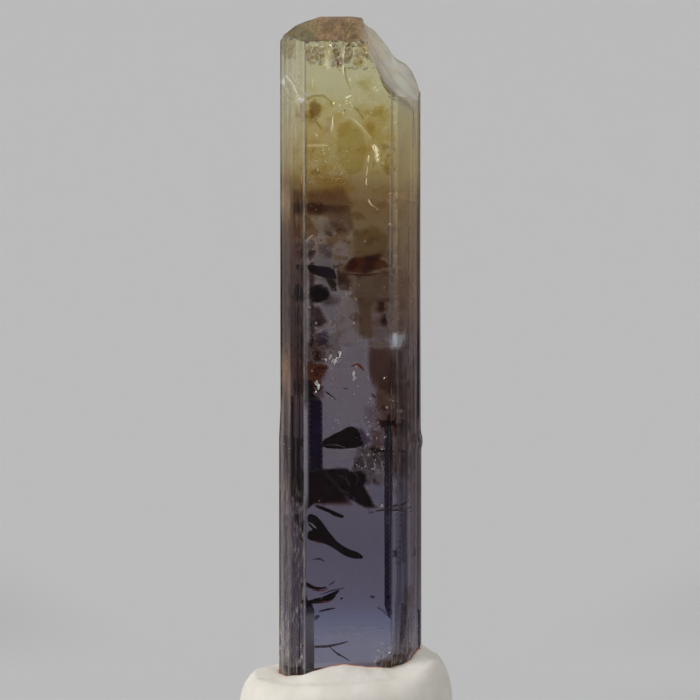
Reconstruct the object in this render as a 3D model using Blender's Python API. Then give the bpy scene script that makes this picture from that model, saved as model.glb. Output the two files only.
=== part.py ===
"""A tanzanite crystal standing upright in a small lump of white modelling putty.

The crystal is one long prism, flattened front to back: a broad smooth face at the front, a narrower
one at the back, finely ridged sides, a rounded etched top with a broken shoulder, and a broken foot
that is pressed into the putty. Metres, +Z up, origin under the middle of the putty, front towards -Y.
"""
import math

import bmesh
import bpy
from mathutils.geometry import delaunay_2d_cdt

MM = 0.001

# Driving dimensions, in millimetres.
CRYSTAL_X = 0.2
CRYSTAL_FOOT_Z = 1.6
CRYSTAL_TOP_Z = 36.4
PUTTY_WIDTH = 10.6
PUTTY_DEPTH = 9.4
SOCKET_GAP = 0.34
SOCKET_LONG_SIDE = 0.5

# Corners of the prism seen from above, in millimetres from the crystal's axis, in order from the front
# left edge round to the right. Each has x, y, how many parts the side after it is set out in, and the
# depth of the ridges that those parts carry.
SECTION = (
    (-2.24, -2.50, 12, 0.0),
    (2.00, -2.50, 1, 0.0),
    (2.08, -2.40, 1, 0.0),
    (2.32, -2.40, 1, 0.05),
    (2.84, -1.80, 1, 0.0),
    (2.96, -1.74, 2, 0.06),
    (3.42, -0.90, 3, 0.07),
    (3.50, 0.55, 3, 0.07),
    (3.06, 1.50, 2, 0.05),
    (2.36, 2.18, 1, 0.0),
    (2.02, 2.24, 1, 0.0),
    (1.73, 2.50, 8, 0.0),
    (-1.77, 2.46, 1, 0.0),
    (-2.22, 2.04, 2, 0.05),
    (-3.02, 1.52, 2, 0.06),
    (-3.44, 0.55, 3, 0.06),
    (-3.42, -0.70, 3, 0.06),
    (-2.92, -1.80, 2, 0.05),
)
BACK_RIGHT_CORNER = 11
BACK_LEFT_CORNER = 12

# Growth ledges: height above the table, then how far the corner or the side stands out there. Where the
# back left corner moves right, the two corners after it fall towards the front by these shares.
BACK_RIGHT_LEDGES = ((6.6, 0.25), (7.2, 0.0), (16.3, 0.0), (16.8, 0.25))
BACK_LEFT_LEDGES = ((8.7, 0.0), (9.1, -0.42), (12.0, -0.42), (12.7, 0.40), (17.4, 0.40), (18.1, -0.42))
BACK_LEFT_FALLS = ((13, 0.95), (14, 0.3))
LEFT_LEDGES = ((15.6, 0.07), (17.2, 0.0))
RIGHT_LEDGES = ((14.6, 0.03), (15.1, 0.03), (15.3, 0.09), (15.6, 0.09), (15.9, 0.0), (23.5, -0.03))

# The rounded top: height of its crest and of its front brow against x.
DOME_CREST = (
    (-4.2, 34.0), (-3.6, 34.9), (-3.25, 35.5), (-2.7, 35.93), (-2.25, 36.13), (-1.45, 36.4), (0.1, 36.4),
    (1.6, 36.2), (2.8, 35.6), (4.2, 34.3),
)
DOME_BROW = ((-4.2, 34.0), (-3.6, 34.7), (-2.9, 35.2), (-0.5, 35.25), (0.6, 35.2), (4.2, 34.4))
DOME_CREST_Y = -0.7
DOME_BACK_FALL = 1.1

# The shoulder broken off at the right: its edge on the front face, its skyline, and how hollow it is.
SHOULDER_FRONT = (
    (0.5, 38.0), (0.78, 36.1), (0.88, 34.9), (1.1, 34.27), (1.7, 33.05), (2.2, 32.55), (3.1, 32.0),
    (4.2, 31.8),
)
SHOULDER_SKYLINE = (
    (0.5, 38.0), (0.62, 36.2), (1.05, 35.85), (1.4, 35.45), (1.8, 34.95), (2.05, 34.52), (2.3, 34.26),
    (2.75, 34.02), (3.05, 33.68), (3.3, 33.4), (3.55, 32.9), (4.2, 31.9),
)
SHOULDER_SKYLINE_Y = 1.4
SHOULDER_HOLLOW = 0.35

# The broken foot, and a rounded chip off the right front edge where it leaves the putty.
FOOT_RISE = ((-4.2, 0.3), (-3.6, 0.25), (-1.0, 0.0), (1.2, 0.0), (2.4, 0.5), (3.6, 1.1), (4.2, 1.3))
FOOT_WAVE = 0.12
CHIP_CENTRE = (2.7, -3.5, 3.7)
CHIP_RADII = (1.7, 1.7, 1.9)

# Heights at which the prism's walls are set out, and the shares of the way from there to the top.
WALL_LEVELS = (
    3.3, 3.9, 4.3, 4.6, 4.9, 5.2, 5.7, 6.6, 7.2, 8.7, 9.1, 12.0, 12.7, 14.6, 15.1, 15.3, 15.6, 15.9, 16.3,
    16.8, 17.4, 18.1, 23.5, 27.0, 31.2,
)
RIM_SHARES = (0.35, 0.7, 1.0)
CAP_STEP = 0.42
CAP_MARGIN = 0.16

# The putty against the compass angle seen from above: the rim where it meets the crystal, and the
# shoulder that it falls away to.
PUTTY_RIM = (
    (-180, 4.30), (-147, 4.10), (-131, 4.06), (-109, 4.50), (-95, 4.58), (-77, 4.46), (-60, 4.42),
    (-46, 4.40), (-31, 4.80), (-21, 5.2), (-8, 5.45), (12, 5.3), (35, 4.6), (60, 4.3), (120, 4.2),
    (150, 4.2), (180, 4.30),
)
PUTTY_SHOULDER = (
    (-180, 3.95), (-130, 3.75), (-90, 3.9), (-55, 4.05), (-25, 4.75), (15, 4.85), (60, 4.4), (110, 4.2),
    (180, 3.95),
)
# The putty's side from the foot up: share of its full outline, share of its shoulder's height. Then its
# top: share of the way from its shoulder in to the crystal, share of the climb to the rim.
PUTTY_SIDE = ((0.86, 0.0), (0.93, 0.06), (0.985, 0.2), (1.0, 0.42), (0.99, 0.64), (0.96, 0.82), (0.92, 0.93))
PUTTY_TOP = ((0.0, 0.0), (0.25, 0.1), (0.5, 0.3), (0.72, 0.62), (0.88, 0.92), (1.0, 1.0))
PUTTY_SHOULDER_SHARE = 0.86
PUTTY_SEGMENTS = 64
PUTTY_SQUARENESS = 2.6
PUTTY_PRESS = 0.035


def along(table, place):
    """Reads a table of (place, value) pairs, with straight runs between them."""
    if place <= table[0][0]:
        return table[0][1]
    for (a, low), (b, high) in zip(table, table[1:]):
        if place <= b:
            return low + (high - low) * (place - a) / (b - a)
    return table[-1][1]


def smooth(share):
    share = min(1.0, max(0.0, share))
    return share * share * (3 - 2 * share)


def side_points(start, end, parts, depth):
    """Points from one corner towards the next: even parts, each with a low ridge if it has a depth."""
    length = math.hypot(end[0] - start[0], end[1] - start[1])
    inward = (-(end[1] - start[1]) / length, (end[0] - start[0]) / length)
    places = [(0.0, 0.0)]
    for part in range(parts):
        if depth:
            places += [((part + 0.55) / (parts + 0.2), depth), ((part + 0.8) / (parts + 0.2), depth * 0.15)]
        elif part:
            places.append((part / parts, 0.0))
    points = []
    for share, sink in places:
        x = start[0] + (end[0] - start[0]) * share + inward[0] * sink
        y = start[1] + (end[1] - start[1]) * share + inward[1] * sink
        points.append((x, y))
    return points


def chipped(x, y, z):
    """Pushes a point of the front face back where the rounded chip has taken it away."""
    reach = 1 - ((x - CHIP_CENTRE[0]) / CHIP_RADII[0]) ** 2 - ((z - CHIP_CENTRE[2]) / CHIP_RADII[2]) ** 2
    if reach <= 0 or y > CHIP_CENTRE[1] + CHIP_RADII[1]:
        return y
    return max(y, CHIP_CENTRE[1] + CHIP_RADII[1] * math.sqrt(reach))


def section_outline(z):
    """The prism's outline at height z: its corners, and the ridges between them."""
    corners = [[x, y] for x, y, _, _ in SECTION]
    corners[BACK_RIGHT_CORNER][0] += along(BACK_RIGHT_LEDGES, z)
    corners[BACK_LEFT_CORNER][0] += along(BACK_LEFT_LEDGES, z)
    for corner, fall in BACK_LEFT_FALLS:
        corners[corner][1] -= fall * along(BACK_LEFT_LEDGES, z)
    outline = []
    for index, (_, _, parts, depth) in enumerate(SECTION):
        outline += side_points(corners[index], corners[(index + 1) % len(corners)], parts, depth)
    left, right = along(LEFT_LEDGES, z), along(RIGHT_LEDGES, z)
    shifted = [(x - left * smooth(-x - 2.2) + right * smooth(x - 2.2), y) for x, y in outline]
    return [(x, chipped(x, y, z)) for x, y in shifted]


def dome_height(x, y):
    """The rounded top: it climbs from the front brow to a crest and falls away behind it."""
    crest = along(DOME_CREST, x)
    if y > DOME_CREST_Y:
        return crest - DOME_BACK_FALL * ((y - DOME_CREST_Y) / (2.5 - DOME_CREST_Y)) ** 2
    share = smooth((y + 2.5) / (DOME_CREST_Y + 2.5))
    return min(crest, along(DOME_BROW, x)) * (1 - share) + crest * share


def shoulder_height(x, y):
    """The shell-shaped break that takes the right shoulder off, lowest on the front face."""
    share = min(1.0, max(0.0, (y + 2.5) / (SHOULDER_SKYLINE_Y + 2.5)))
    front, skyline = along(SHOULDER_FRONT, x), along(SHOULDER_SKYLINE, x)
    return front + (skyline - front) * share ** 0.8 - SHOULDER_HOLLOW * math.sin(math.pi * share)


def top_height(x, y):
    return min(CRYSTAL_TOP_Z, dome_height(x, y), shoulder_height(x, y))


def foot_height(x, y):
    """The broken foot inside the putty."""
    wave = FOOT_WAVE * (1 + math.sin(1.3 * x) * math.sin(1.1 * y + 0.5))
    return CRYSTAL_FOOT_Z + along(FOOT_RISE, x) + wave


def shoulder_line():
    """Where the break meets the rounded top: one point for each step across the crystal."""
    points = []
    y = -2.5 + CAP_MARGIN
    while y < 2.5 - CAP_MARGIN:
        low, high = 0.5, 2.0
        for _ in range(30):
            middle = (low + high) / 2
            if shoulder_height(middle, y) > dome_height(middle, y):
                low = middle
            else:
                high = middle
        points.append((low, y))
        y += CAP_STEP
    return points


def is_inside(outline, x, y, margin):
    """True when a point is inside the outline by at least the margin."""
    inside = False
    for (x0, y0), (x1, y1) in zip(outline, outline[1:] + outline[:1]):
        if (y0 > y) != (y1 > y) and x < x0 + (x1 - x0) * (y - y0) / (y1 - y0):
            inside = not inside
        length = (x1 - x0) ** 2 + (y1 - y0) ** 2
        share = min(1.0, max(0.0, ((x - x0) * (x1 - x0) + (y - y0) * (y1 - y0)) / length))
        if math.hypot(x - x0 - share * (x1 - x0), y - y0 - share * (y1 - y0)) < margin:
            return False
    return inside


def add_cap(bm, ring, height_at, crease):
    """Closes a ring of the prism with a surface given by its height, with an edge along the crease."""
    outline = [(vert.co.x, vert.co.y) for vert in ring]
    points = [p for p in crease if is_inside(outline, p[0], p[1], 0.02)]
    lines = [(len(ring) + i, len(ring) + i + 1) for i in range(len(points) - 1)]
    for row in range(-6, 7):
        for column in range(-9, 10):
            x = (column + 0.5 * (row % 2)) * CAP_STEP
            y = row * CAP_STEP * 0.95
            clear = all(math.hypot(x - p[0], y - p[1]) > CAP_MARGIN for p in points[:len(crease)])
            if clear and is_inside(outline, x, y, CAP_MARGIN):
                points.append((x, y))
    places = [(x, y) for x, y in outline + points]
    corners, _, triangles, sources, _, _ = delaunay_2d_cdt(
        places, lines, [list(range(len(ring)))], 1, 1e-5, True
    )
    verts = []
    for corner, source in zip(corners, sources):
        if source and source[0] < len(ring):
            verts.append(ring[source[0]])
        else:
            verts.append(bm.verts.new((corner.x, corner.y, height_at(corner.x, corner.y))))
    for triangle in triangles:
        x, y = (sum(corners[i][axis] for i in triangle) / 3 for axis in (0, 1))
        if is_inside(outline, x, y, 0.0):
            bm.faces.new([verts[i] for i in triangle])


def join_rings(bm, lower, upper):
    for index, vert in enumerate(lower):
        after = (index + 1) % len(lower)
        bm.faces.new((vert, lower[after], upper[after], upper[index]))


def crystal_mesh():
    bm = bmesh.new()
    foot = [(x, y, foot_height(x, y)) for x, y in section_outline(WALL_LEVELS[0])]
    rows = [foot]
    rows += [[(x, y, z) for x, y in section_outline(z)] for z in WALL_LEVELS]
    for share in RIM_SHARES:
        tops = [(x, y, top_height(x, y)) for x, y in section_outline(CRYSTAL_TOP_Z)]
        rows.append([(x, y, WALL_LEVELS[-1] * (1 - share) + top * share) for x, y, top in tops])
    rings = [[bm.verts.new(place) for place in row] for row in rows]
    for lower, upper in zip(rings, rings[1:]):
        join_rings(bm, lower, upper)
    add_cap(bm, rings[0], foot_height, [])
    add_cap(bm, rings[-1], top_height, shoulder_line())
    return bm


def putty_outline(angle):
    """A rounded rectangle with a few shallow finger presses, full width on both axes."""
    c, s = math.cos(angle), math.sin(angle)
    reach = (abs(c) ** PUTTY_SQUARENESS + abs(s) ** PUTTY_SQUARENESS) ** (-1 / PUTTY_SQUARENESS)
    press = 1 - PUTTY_PRESS * math.sin(2 * angle) ** 2 * (1 + math.sin(3 * angle + 0.6))
    return c * reach * press * PUTTY_WIDTH / 2, s * reach * press * PUTTY_DEPTH / 2


def socket_outline(angle):
    """The edge of the hole that the crystal stands in: its longer sides, moved out by the gap."""
    c, s = math.cos(angle), math.sin(angle)
    reach = 9.0
    for (x0, y0, _, _), (x1, y1, _, _) in zip(SECTION, SECTION[1:] + SECTION[:1]):
        length = math.hypot(x1 - x0, y1 - y0)
        outward = ((y1 - y0) / length, -(x1 - x0) / length)
        facing = outward[0] * c + outward[1] * s
        if facing > 0.01 and length > SOCKET_LONG_SIDE:
            reach = min(reach, (outward[0] * x0 + outward[1] * y0 + SOCKET_GAP) / facing)
    return CRYSTAL_X + c * reach, s * reach


def putty_mesh():
    """A pressed lump: its flat foot, bulging side, top climbing to the crystal, and the hole's wall."""
    bm = bmesh.new()
    rows = [[] for _ in range(len(PUTTY_SIDE) + len(PUTTY_TOP) + 1)]
    for segment in range(PUTTY_SEGMENTS):
        angle = 2 * math.pi * segment / PUTTY_SEGMENTS
        compass = (math.degrees(angle) + 180) % 360 - 180
        shoulder, rim = along(PUTTY_SHOULDER, compass), along(PUTTY_RIM, compass)
        x, y = putty_outline(angle)
        inner_x, inner_y = socket_outline(angle)
        column = [(x * share, y * share, shoulder * lift) for share, lift in PUTTY_SIDE]
        outer_x, outer_y = x * PUTTY_SHOULDER_SHARE, y * PUTTY_SHOULDER_SHARE
        for share, climb in PUTTY_TOP:
            place = (outer_x + (inner_x - outer_x) * share, outer_y + (inner_y - outer_y) * share)
            column.append((*place, shoulder + (rim - shoulder) * climb))
        column.append((inner_x, inner_y, CRYSTAL_FOOT_Z - SOCKET_GAP))
        for row, place in zip(rows, column):
            row.append(place)
    rings = [[bm.verts.new(place) for place in row] for row in rows]
    for lower, upper in zip(rings, rings[1:]):
        join_rings(bm, lower, upper)
    bm.faces.new(rings[0][::-1])
    bm.faces.new(rings[-1])
    return bm


def add_object(name, bm, material):
    bmesh.ops.recalc_face_normals(bm, faces=bm.faces)
    bmesh.ops.scale(bm, vec=(MM, MM, MM), verts=bm.verts)
    mesh = bpy.data.meshes.new(name)
    bm.to_mesh(mesh)
    bm.free()
    mesh.materials.append(material)
    obj = bpy.data.objects.new(name, mesh)
    bpy.context.scene.collection.objects.link(obj)
    return obj


def plain_material(name, colour, roughness, transmission=0.0, ior=1.5):
    material = bpy.data.materials.new(name)
    material.use_nodes = True
    shader = material.node_tree.nodes["Principled BSDF"]
    shader.inputs["Base Color"].default_value = (*colour, 1.0)
    shader.inputs["Roughness"].default_value = roughness
    shader.inputs["Metallic"].default_value = 0.0
    shader.inputs["Transmission Weight"].default_value = transmission
    shader.inputs["IOR"].default_value = ior
    return material


def main():
    for obj in list(bpy.data.objects):
        bpy.data.objects.remove(obj)

    zoisite = plain_material("tanzanite", (0.30, 0.26, 0.30), 0.05, transmission=1.0, ior=1.69)
    white_putty = plain_material("white_putty", (0.76, 0.71, 0.63), 0.7)

    crystal = add_object("crystal", crystal_mesh(), zoisite)
    crystal.location = (CRYSTAL_X * MM, 0, 0)

    putty = add_object("putty_base", putty_mesh(), white_putty)
    putty.data.shade_smooth()
    putty.data.set_sharp_from_angle(angle=math.radians(50))


main()
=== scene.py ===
import math

import bmesh
import bpy
import numpy as np
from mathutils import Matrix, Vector, noise
from mathutils.geometry import delaunay_2d_cdt


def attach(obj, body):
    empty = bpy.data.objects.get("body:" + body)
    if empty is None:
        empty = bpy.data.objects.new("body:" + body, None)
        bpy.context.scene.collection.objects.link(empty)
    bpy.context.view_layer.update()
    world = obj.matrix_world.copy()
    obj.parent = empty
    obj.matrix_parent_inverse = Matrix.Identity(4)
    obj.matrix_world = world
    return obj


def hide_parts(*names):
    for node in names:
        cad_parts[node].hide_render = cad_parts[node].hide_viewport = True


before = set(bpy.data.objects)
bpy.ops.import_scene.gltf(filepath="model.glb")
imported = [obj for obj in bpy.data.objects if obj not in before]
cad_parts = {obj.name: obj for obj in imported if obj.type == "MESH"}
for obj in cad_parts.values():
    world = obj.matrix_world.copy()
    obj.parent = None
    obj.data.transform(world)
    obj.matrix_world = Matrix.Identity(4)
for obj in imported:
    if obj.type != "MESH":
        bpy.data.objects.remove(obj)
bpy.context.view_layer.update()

MM = 0.001

# The photograph's frame: 700 pixels square, this many pixels to a millimetre at the crystal's axis.
PHOTO_SIZE = 700
PX_PER_MM = 20.286
PHOTO_MID_X = 350.0
PHOTO_MID_Z = 4.0 + (674.0 - 350.0) / PX_PER_MM
CAMERA_DISTANCE = 300.0
CAMERA_ELEVATION = 4.0
SENSOR = 36.0
SLOPE_IN_AIR = math.tan(math.radians(CAMERA_ELEVATION))
SLOPE_IN_CRYSTAL = 0.0413

# Same named values as the part's solids, in millimetres.
CRYSTAL_X = 0.2
CRYSTAL_FOOT_Z = 1.6
CRYSTAL_TOP_Z = 36.4
FRONT_Y = -2.5
PUTTY_WIDTH = 10.6
PUTTY_DEPTH = 9.4
SOCKET_GAP = 0.34
SECTION = (
    (-2.24, -2.50, 0.0),
    (2.00, -2.50, 0.0),
    (2.08, -2.40, 0.0),
    (2.32, -2.40, 0.05),
    (2.84, -1.80, 0.0),
    (2.96, -1.74, 0.06),
    (3.42, -0.90, 0.07),
    (3.50, 0.55, 0.07),
    (3.06, 1.50, 0.05),
    (2.36, 2.18, 0.0),
    (2.02, 2.24, 0.0),
    (1.73, 2.50, 0.0),
    (-1.77, 2.46, 0.0),
    (-2.22, 2.04, 0.05),
    (-3.02, 1.52, 0.06),
    (-3.44, 0.55, 0.06),
    (-3.42, -0.70, 0.06),
    (-2.92, -1.80, 0.05),
)
BACK_RIGHT_CORNER = 11
BACK_LEFT_CORNER = 12
BACK_LEFT_FALLS = ((13, 0.95), (14, 0.3))
BACK_RIGHT_LEDGES = ((6.6, 0.25), (7.2, 0.0), (16.3, 0.0), (16.8, 0.25))
BACK_LEFT_LEDGES = ((7.2, 0.0), (7.6, -0.42), (12.0, -0.42), (12.7, 0.40), (17.4, 0.40), (18.1, -0.42))
LEFT_LEDGES = ((15.6, 0.07), (17.2, 0.0))
RIGHT_LEDGES = ((14.6, 0.03), (15.1, 0.03), (15.3, 0.09), (15.6, 0.09), (15.9, 0.0), (23.5, -0.03))
DOME_CREST = (
    (-4.2, 34.0), (-3.6, 34.9), (-3.25, 35.5), (-2.7, 35.93), (-2.25, 36.13), (-1.45, 36.4), (0.1, 36.4),
    (1.6, 36.2), (2.8, 35.6), (4.2, 34.3),
)
DOME_BROW = ((-4.2, 34.0), (-3.6, 34.7), (-2.9, 35.2), (-0.5, 35.25), (0.6, 35.2), (4.2, 34.4))
DOME_CREST_Y = -0.7
DOME_BACK_FALL = 1.1
SHOULDER_FRONT = (
    (0.5, 38.0), (0.78, 36.1), (0.88, 34.9), (1.1, 34.27), (1.7, 33.05), (2.2, 32.55), (3.1, 32.0),
    (4.2, 31.8),
)
SHOULDER_SKYLINE = (
    (0.5, 38.0), (0.62, 36.2), (1.05, 35.85), (1.4, 35.45), (1.8, 34.95), (2.05, 34.52), (2.3, 34.26),
    (2.75, 34.02), (3.05, 33.68), (3.3, 33.4), (3.55, 32.9), (4.2, 31.9),
)
SHOULDER_SKYLINE_Y = 1.4
SHOULDER_HOLLOW = 0.35
FOOT_RISE = ((-4.2, 0.3), (-3.6, 0.25), (-1.0, 0.0), (1.2, 0.0), (2.4, 0.5), (3.6, 1.1), (4.2, 1.3))
FOOT_WAVE = 0.12
CHIP_CENTRE = (2.7, -3.5, 3.7)
CHIP_RADII = (1.7, 1.7, 1.9)
WALL_TOP_Z = 31.2
PUTTY_SHOULDER = (
    (-180, 3.95), (-130, 3.75), (-90, 3.9), (-55, 4.05), (-25, 4.75), (15, 4.85), (60, 4.4), (110, 4.2),
    (180, 3.95),
)
PUTTY_SIDE = ((0.86, 0.0), (0.93, 0.06), (0.985, 0.2), (1.0, 0.42), (0.99, 0.64), (0.96, 0.82), (0.92, 0.93))
PUTTY_TOP = ((0.0, 0.0), (0.25, 0.1), (0.5, 0.3), (0.72, 0.62), (0.88, 0.92), (1.0, 1.0))
PUTTY_SHOULDER_SHARE = 0.86
PUTTY_SQUARENESS = 2.6
PUTTY_PRESS = 0.035

# The line where the putty meets the crystal, finer than the solid's: compass angle and height.
PUTTY_RIM = (
    (-180, 4.03), (-152, 4.01), (-133, 4.17), (-122, 4.42), (-109, 4.65), (-95, 4.72), (-77, 4.62),
    (-62, 4.57), (-48, 4.50), (-39, 4.62), (-32, 4.82), (-22, 5.17), (-8, 5.43), (10, 5.3), (35, 4.5),
    (60, 4.2), (120, 4.15), (150, 4.05), (180, 4.03),
)

WALL_STEP = 0.046
ROW_STEP = 0.25
RIM_ROWS = 56
CAP_STEP = 0.065


def along(table, places):
    xs, ys = zip(*table)
    return np.interp(places, xs, ys)


def smooth(share):
    share = np.clip(share, 0.0, 1.0)
    return share * share * (3 - 2 * share)


def grain(x, y, z, size, seed):
    """Smooth noise between -1 and 1 at each point; size is how long one wave is along each axis."""
    points = np.column_stack([x / size[0] + seed * 7.3, y / size[1] - seed * 3.1, z / size[2] + seed * 5.7])
    return np.array([noise.noise(Vector(p)) for p in points])


def seen_at(px, py, depth=FRONT_Y):
    """The place, at this depth, that shows at a point of the photograph through the front face."""
    x = CRYSTAL_X + (px - PHOTO_MID_X) / PX_PER_MM
    z = 4.0 + (674.0 - py) / PX_PER_MM - FRONT_Y * SLOPE_IN_AIR - (depth - FRONT_Y) * SLOPE_IN_CRYSTAL
    return x, z


# How far forward and back the crystal's inside reaches at each place across it.
INSIDE_FRONT = ((-3.45, 0.2), (-3.38, -0.6), (-2.92, -1.74), (-2.24, -2.44), (1.98, -2.44), (2.32, -2.34),
                (2.84, -1.74), (3.42, -0.8), (3.5, 0.3))
INSIDE_BACK = ((-3.45, 0.3), (-3.02, 1.2), (-2.2, 1.5), (-1.3, 2.3), (1.7, 2.36), (2.0, 2.1), (2.36, 2.0),
               (3.06, 1.3), (3.5, 0.4))


def dome_height(x, y):
    crest = along(DOME_CREST, x)
    behind = crest - DOME_BACK_FALL * ((y - DOME_CREST_Y) / (2.5 - DOME_CREST_Y)) ** 2
    share = smooth((y + 2.5) / (DOME_CREST_Y + 2.5))
    front = np.minimum(crest, along(DOME_BROW, x)) * (1 - share) + crest * share
    return np.where(y > DOME_CREST_Y, behind, front)


def shoulder_height(x, y):
    share = np.clip((y + 2.5) / (SHOULDER_SKYLINE_Y + 2.5), 0.0, 1.0)
    front, skyline = along(SHOULDER_FRONT, x), along(SHOULDER_SKYLINE, x)
    return front + (skyline - front) * share ** 0.8 - SHOULDER_HOLLOW * np.sin(math.pi * share)


def top_height(x, y):
    return np.minimum(CRYSTAL_TOP_Z, np.minimum(dome_height(x, y), shoulder_height(x, y)))


def foot_height(x, y):
    wave = FOOT_WAVE * (1 + np.sin(1.3 * x) * np.sin(1.1 * y + 0.5))
    return CRYSTAL_FOOT_Z + along(FOOT_RISE, x) + wave


def chipped(x, y, z):
    reach = 1 - ((x - CHIP_CENTRE[0]) / CHIP_RADII[0]) ** 2 - ((z - CHIP_CENTRE[2]) / CHIP_RADII[2]) ** 2
    pushed = CHIP_CENTRE[1] + CHIP_RADII[1] * np.sqrt(np.maximum(reach, 0.0))
    near = (reach > 0) & (y < CHIP_CENTRE[1] + CHIP_RADII[1])
    return np.where(near, np.maximum(y, pushed), y)


def ridge_profile(rng, count, depth):
    """A stepped run of growth ridges across one side: how far each point sinks below the flat side."""
    sink = np.zeros(count)
    place = 0
    level = 0.0
    while place < count:
        width = int(rng.integers(2, 9))
        target = float(rng.uniform(0.0, 1.0)) * depth
        stop = min(count, place + width)
        slope = max(1, int(width * rng.uniform(0.25, 0.8)))
        for k in range(place, stop):
            share = min(1.0, (k - place + 1) / slope)
            sink[k] = level + (target - level) * share
        level = target
        place = stop
    return sink


def wall_columns():
    """Fixed facts of each column of the wall: its side, its share of the way along it, and its ridges."""
    rng = np.random.default_rng(17)
    side, share, sink = [], [], []
    for index, (x0, y0, depth) in enumerate(SECTION):
        x1, y1, _ = SECTION[(index + 1) % len(SECTION)]
        length = math.hypot(x1 - x0, y1 - y0)
        count = max(2, int(round(length / WALL_STEP)))
        side += [index] * count
        share += [k / count for k in range(count)]
        profile = ridge_profile(rng, count, depth if depth else 0.002)
        profile[0] = 0.0
        if count > 6:
            profile[-3:] *= (0.75, 0.5, 0.25)
        sink += list(profile)
    return np.array(side), np.array(share), np.array(sink)


def wall_place(columns, z):
    """x and y of every column at the given heights, one height for each column."""
    side, share, sink = columns
    count = len(SECTION)
    corners = np.array([(x, y) for x, y, _ in SECTION])
    base_x, base_y = corners[:, 0], corners[:, 1]
    shift_left = along(BACK_LEFT_LEDGES, z)
    shift_right = along(BACK_RIGHT_LEDGES, z)

    def corner_x(index):
        moved = base_x[index] + np.where(index == BACK_LEFT_CORNER, shift_left, 0.0)
        return moved + np.where(index == BACK_RIGHT_CORNER, shift_right, 0.0)

    def corner_y(index):
        moved = base_y[index]
        for corner, fall in BACK_LEFT_FALLS:
            moved = moved - np.where(index == corner, fall * shift_left, 0.0)
        return moved

    after = (side + 1) % count
    x0, x1 = corner_x(side), corner_x(after)
    y0, y1 = corner_y(side), corner_y(after)
    length = np.hypot(x1 - x0, y1 - y0)
    x = x0 + (x1 - x0) * share - (y1 - y0) / length * sink
    y = y0 + (y1 - y0) * share + (x1 - x0) / length * sink
    left, right = along(LEFT_LEDGES, z), along(RIGHT_LEDGES, z)
    x = x - left * smooth(-x - 2.2) + right * smooth(x - 2.2)
    return x, chipped(x, y, z)


def inside_outline(px, py, xs, ys, margin):
    """Which points lie inside a closed outline by at least the margin."""
    inside = np.zeros(len(px), bool)
    nearest = np.full(len(px), 1e9)
    for k in range(len(xs)):
        x0, y0, x1, y1 = xs[k - 1], ys[k - 1], xs[k], ys[k]
        if y0 != y1:
            cross = ((y0 > py) != (y1 > py)) & (px < x0 + (x1 - x0) * (py - y0) / (y1 - y0))
            inside ^= cross
        length = max(1e-12, (x1 - x0) ** 2 + (y1 - y0) ** 2)
        t = np.clip(((px - x0) * (x1 - x0) + (py - y0) * (y1 - y0)) / length, 0, 1)
        nearest = np.minimum(nearest, np.hypot(px - x0 - t * (x1 - x0), py - y0 - t * (y1 - y0)))
    return inside & (nearest > margin)


def fill_outline(xs, ys, step):
    """Points inside a closed outline and triangles over it; the outline's points come first."""
    wide = np.arange(min(xs) - step, max(xs) + step, step)
    grid = []
    for row, y in enumerate(np.arange(min(ys) - step, max(ys) + step, step * 0.87)):
        grid += [(x + 0.5 * step * (row % 2), y) for x in wide]
    grid = np.array(grid)
    grid = grid[inside_outline(grid[:, 0], grid[:, 1], xs, ys, step * 0.45)]
    places = [(float(x), float(y)) for x, y in zip(xs, ys)] + [(float(x), float(y)) for x, y in grid]
    ring = list(range(len(xs)))
    corners, _, triangles, sources, _, _ = delaunay_2d_cdt(places, [], [ring], 1, 1e-6, True)
    corner_x = np.array([c.x for c in corners])
    corner_y = np.array([c.y for c in corners])
    number, extra = [], []
    for k, source in enumerate(sources):
        if source and source[0] < len(ring):
            number.append(source[0])
        else:
            number.append(len(ring) + len(extra))
            extra.append((corner_x[k], corner_y[k]))
    tri = np.array(triangles)
    good = inside_outline(corner_x[tri].mean(1), corner_y[tri].mean(1), xs, ys, -1.0)
    faces = [[number[i] for i in t] for t, ok in zip(triangles, good) if ok]
    return np.array(extra).reshape(-1, 2), faces


def front_relief(x, z):
    """How far the broad front face sinks: soft waves all over, etched pits and columns near the top."""
    flat = np.zeros(len(x))
    waves = 0.004 * grain(x, flat, z, (1.1, 1, 1.6), 1)
    etched = smooth((z - 33.55) / 0.35)
    columns = np.maximum(0.0, grain(x, flat, z, (0.16, 1, 0.7), 2)) * 0.05
    pits = np.maximum(0.0, grain(x, flat, z, (0.12, 1, 0.16), 3)) * 0.035
    patch = smooth(grain(x, flat, z, (0.7, 1, 0.6), 4) * 2.2 + 0.75)
    away = smooth((x + 2.2) / 0.25) * smooth((1.96 - x) / 0.25)
    inland = smooth((x + 2.2) / 0.9)
    return away * (0.004 + waves + inland * etched * patch * (0.8 * columns + pits))


def cap_relief(x, y):
    """Etch pits and low growth hills on the rounded top; nothing stands above the smooth dome."""
    flat = np.zeros(len(x))
    pits = np.maximum(0.0, grain(x, y, flat, (0.2, 0.26, 1), 5)) * 0.12
    fine = np.maximum(0.0, grain(x, y, flat, (0.09, 0.1, 1), 6)) * 0.04
    on_dome = smooth((shoulder_height(x, y) - dome_height(x, y)) / 0.15)
    shell = 0.006 * (1 + np.sin(7.0 * np.hypot(x - 1.2, (y + 2.4) * 0.8)))
    return on_dome * (pits + fine) + (1 - on_dome) * (shell + fine * 0.3)


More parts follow.
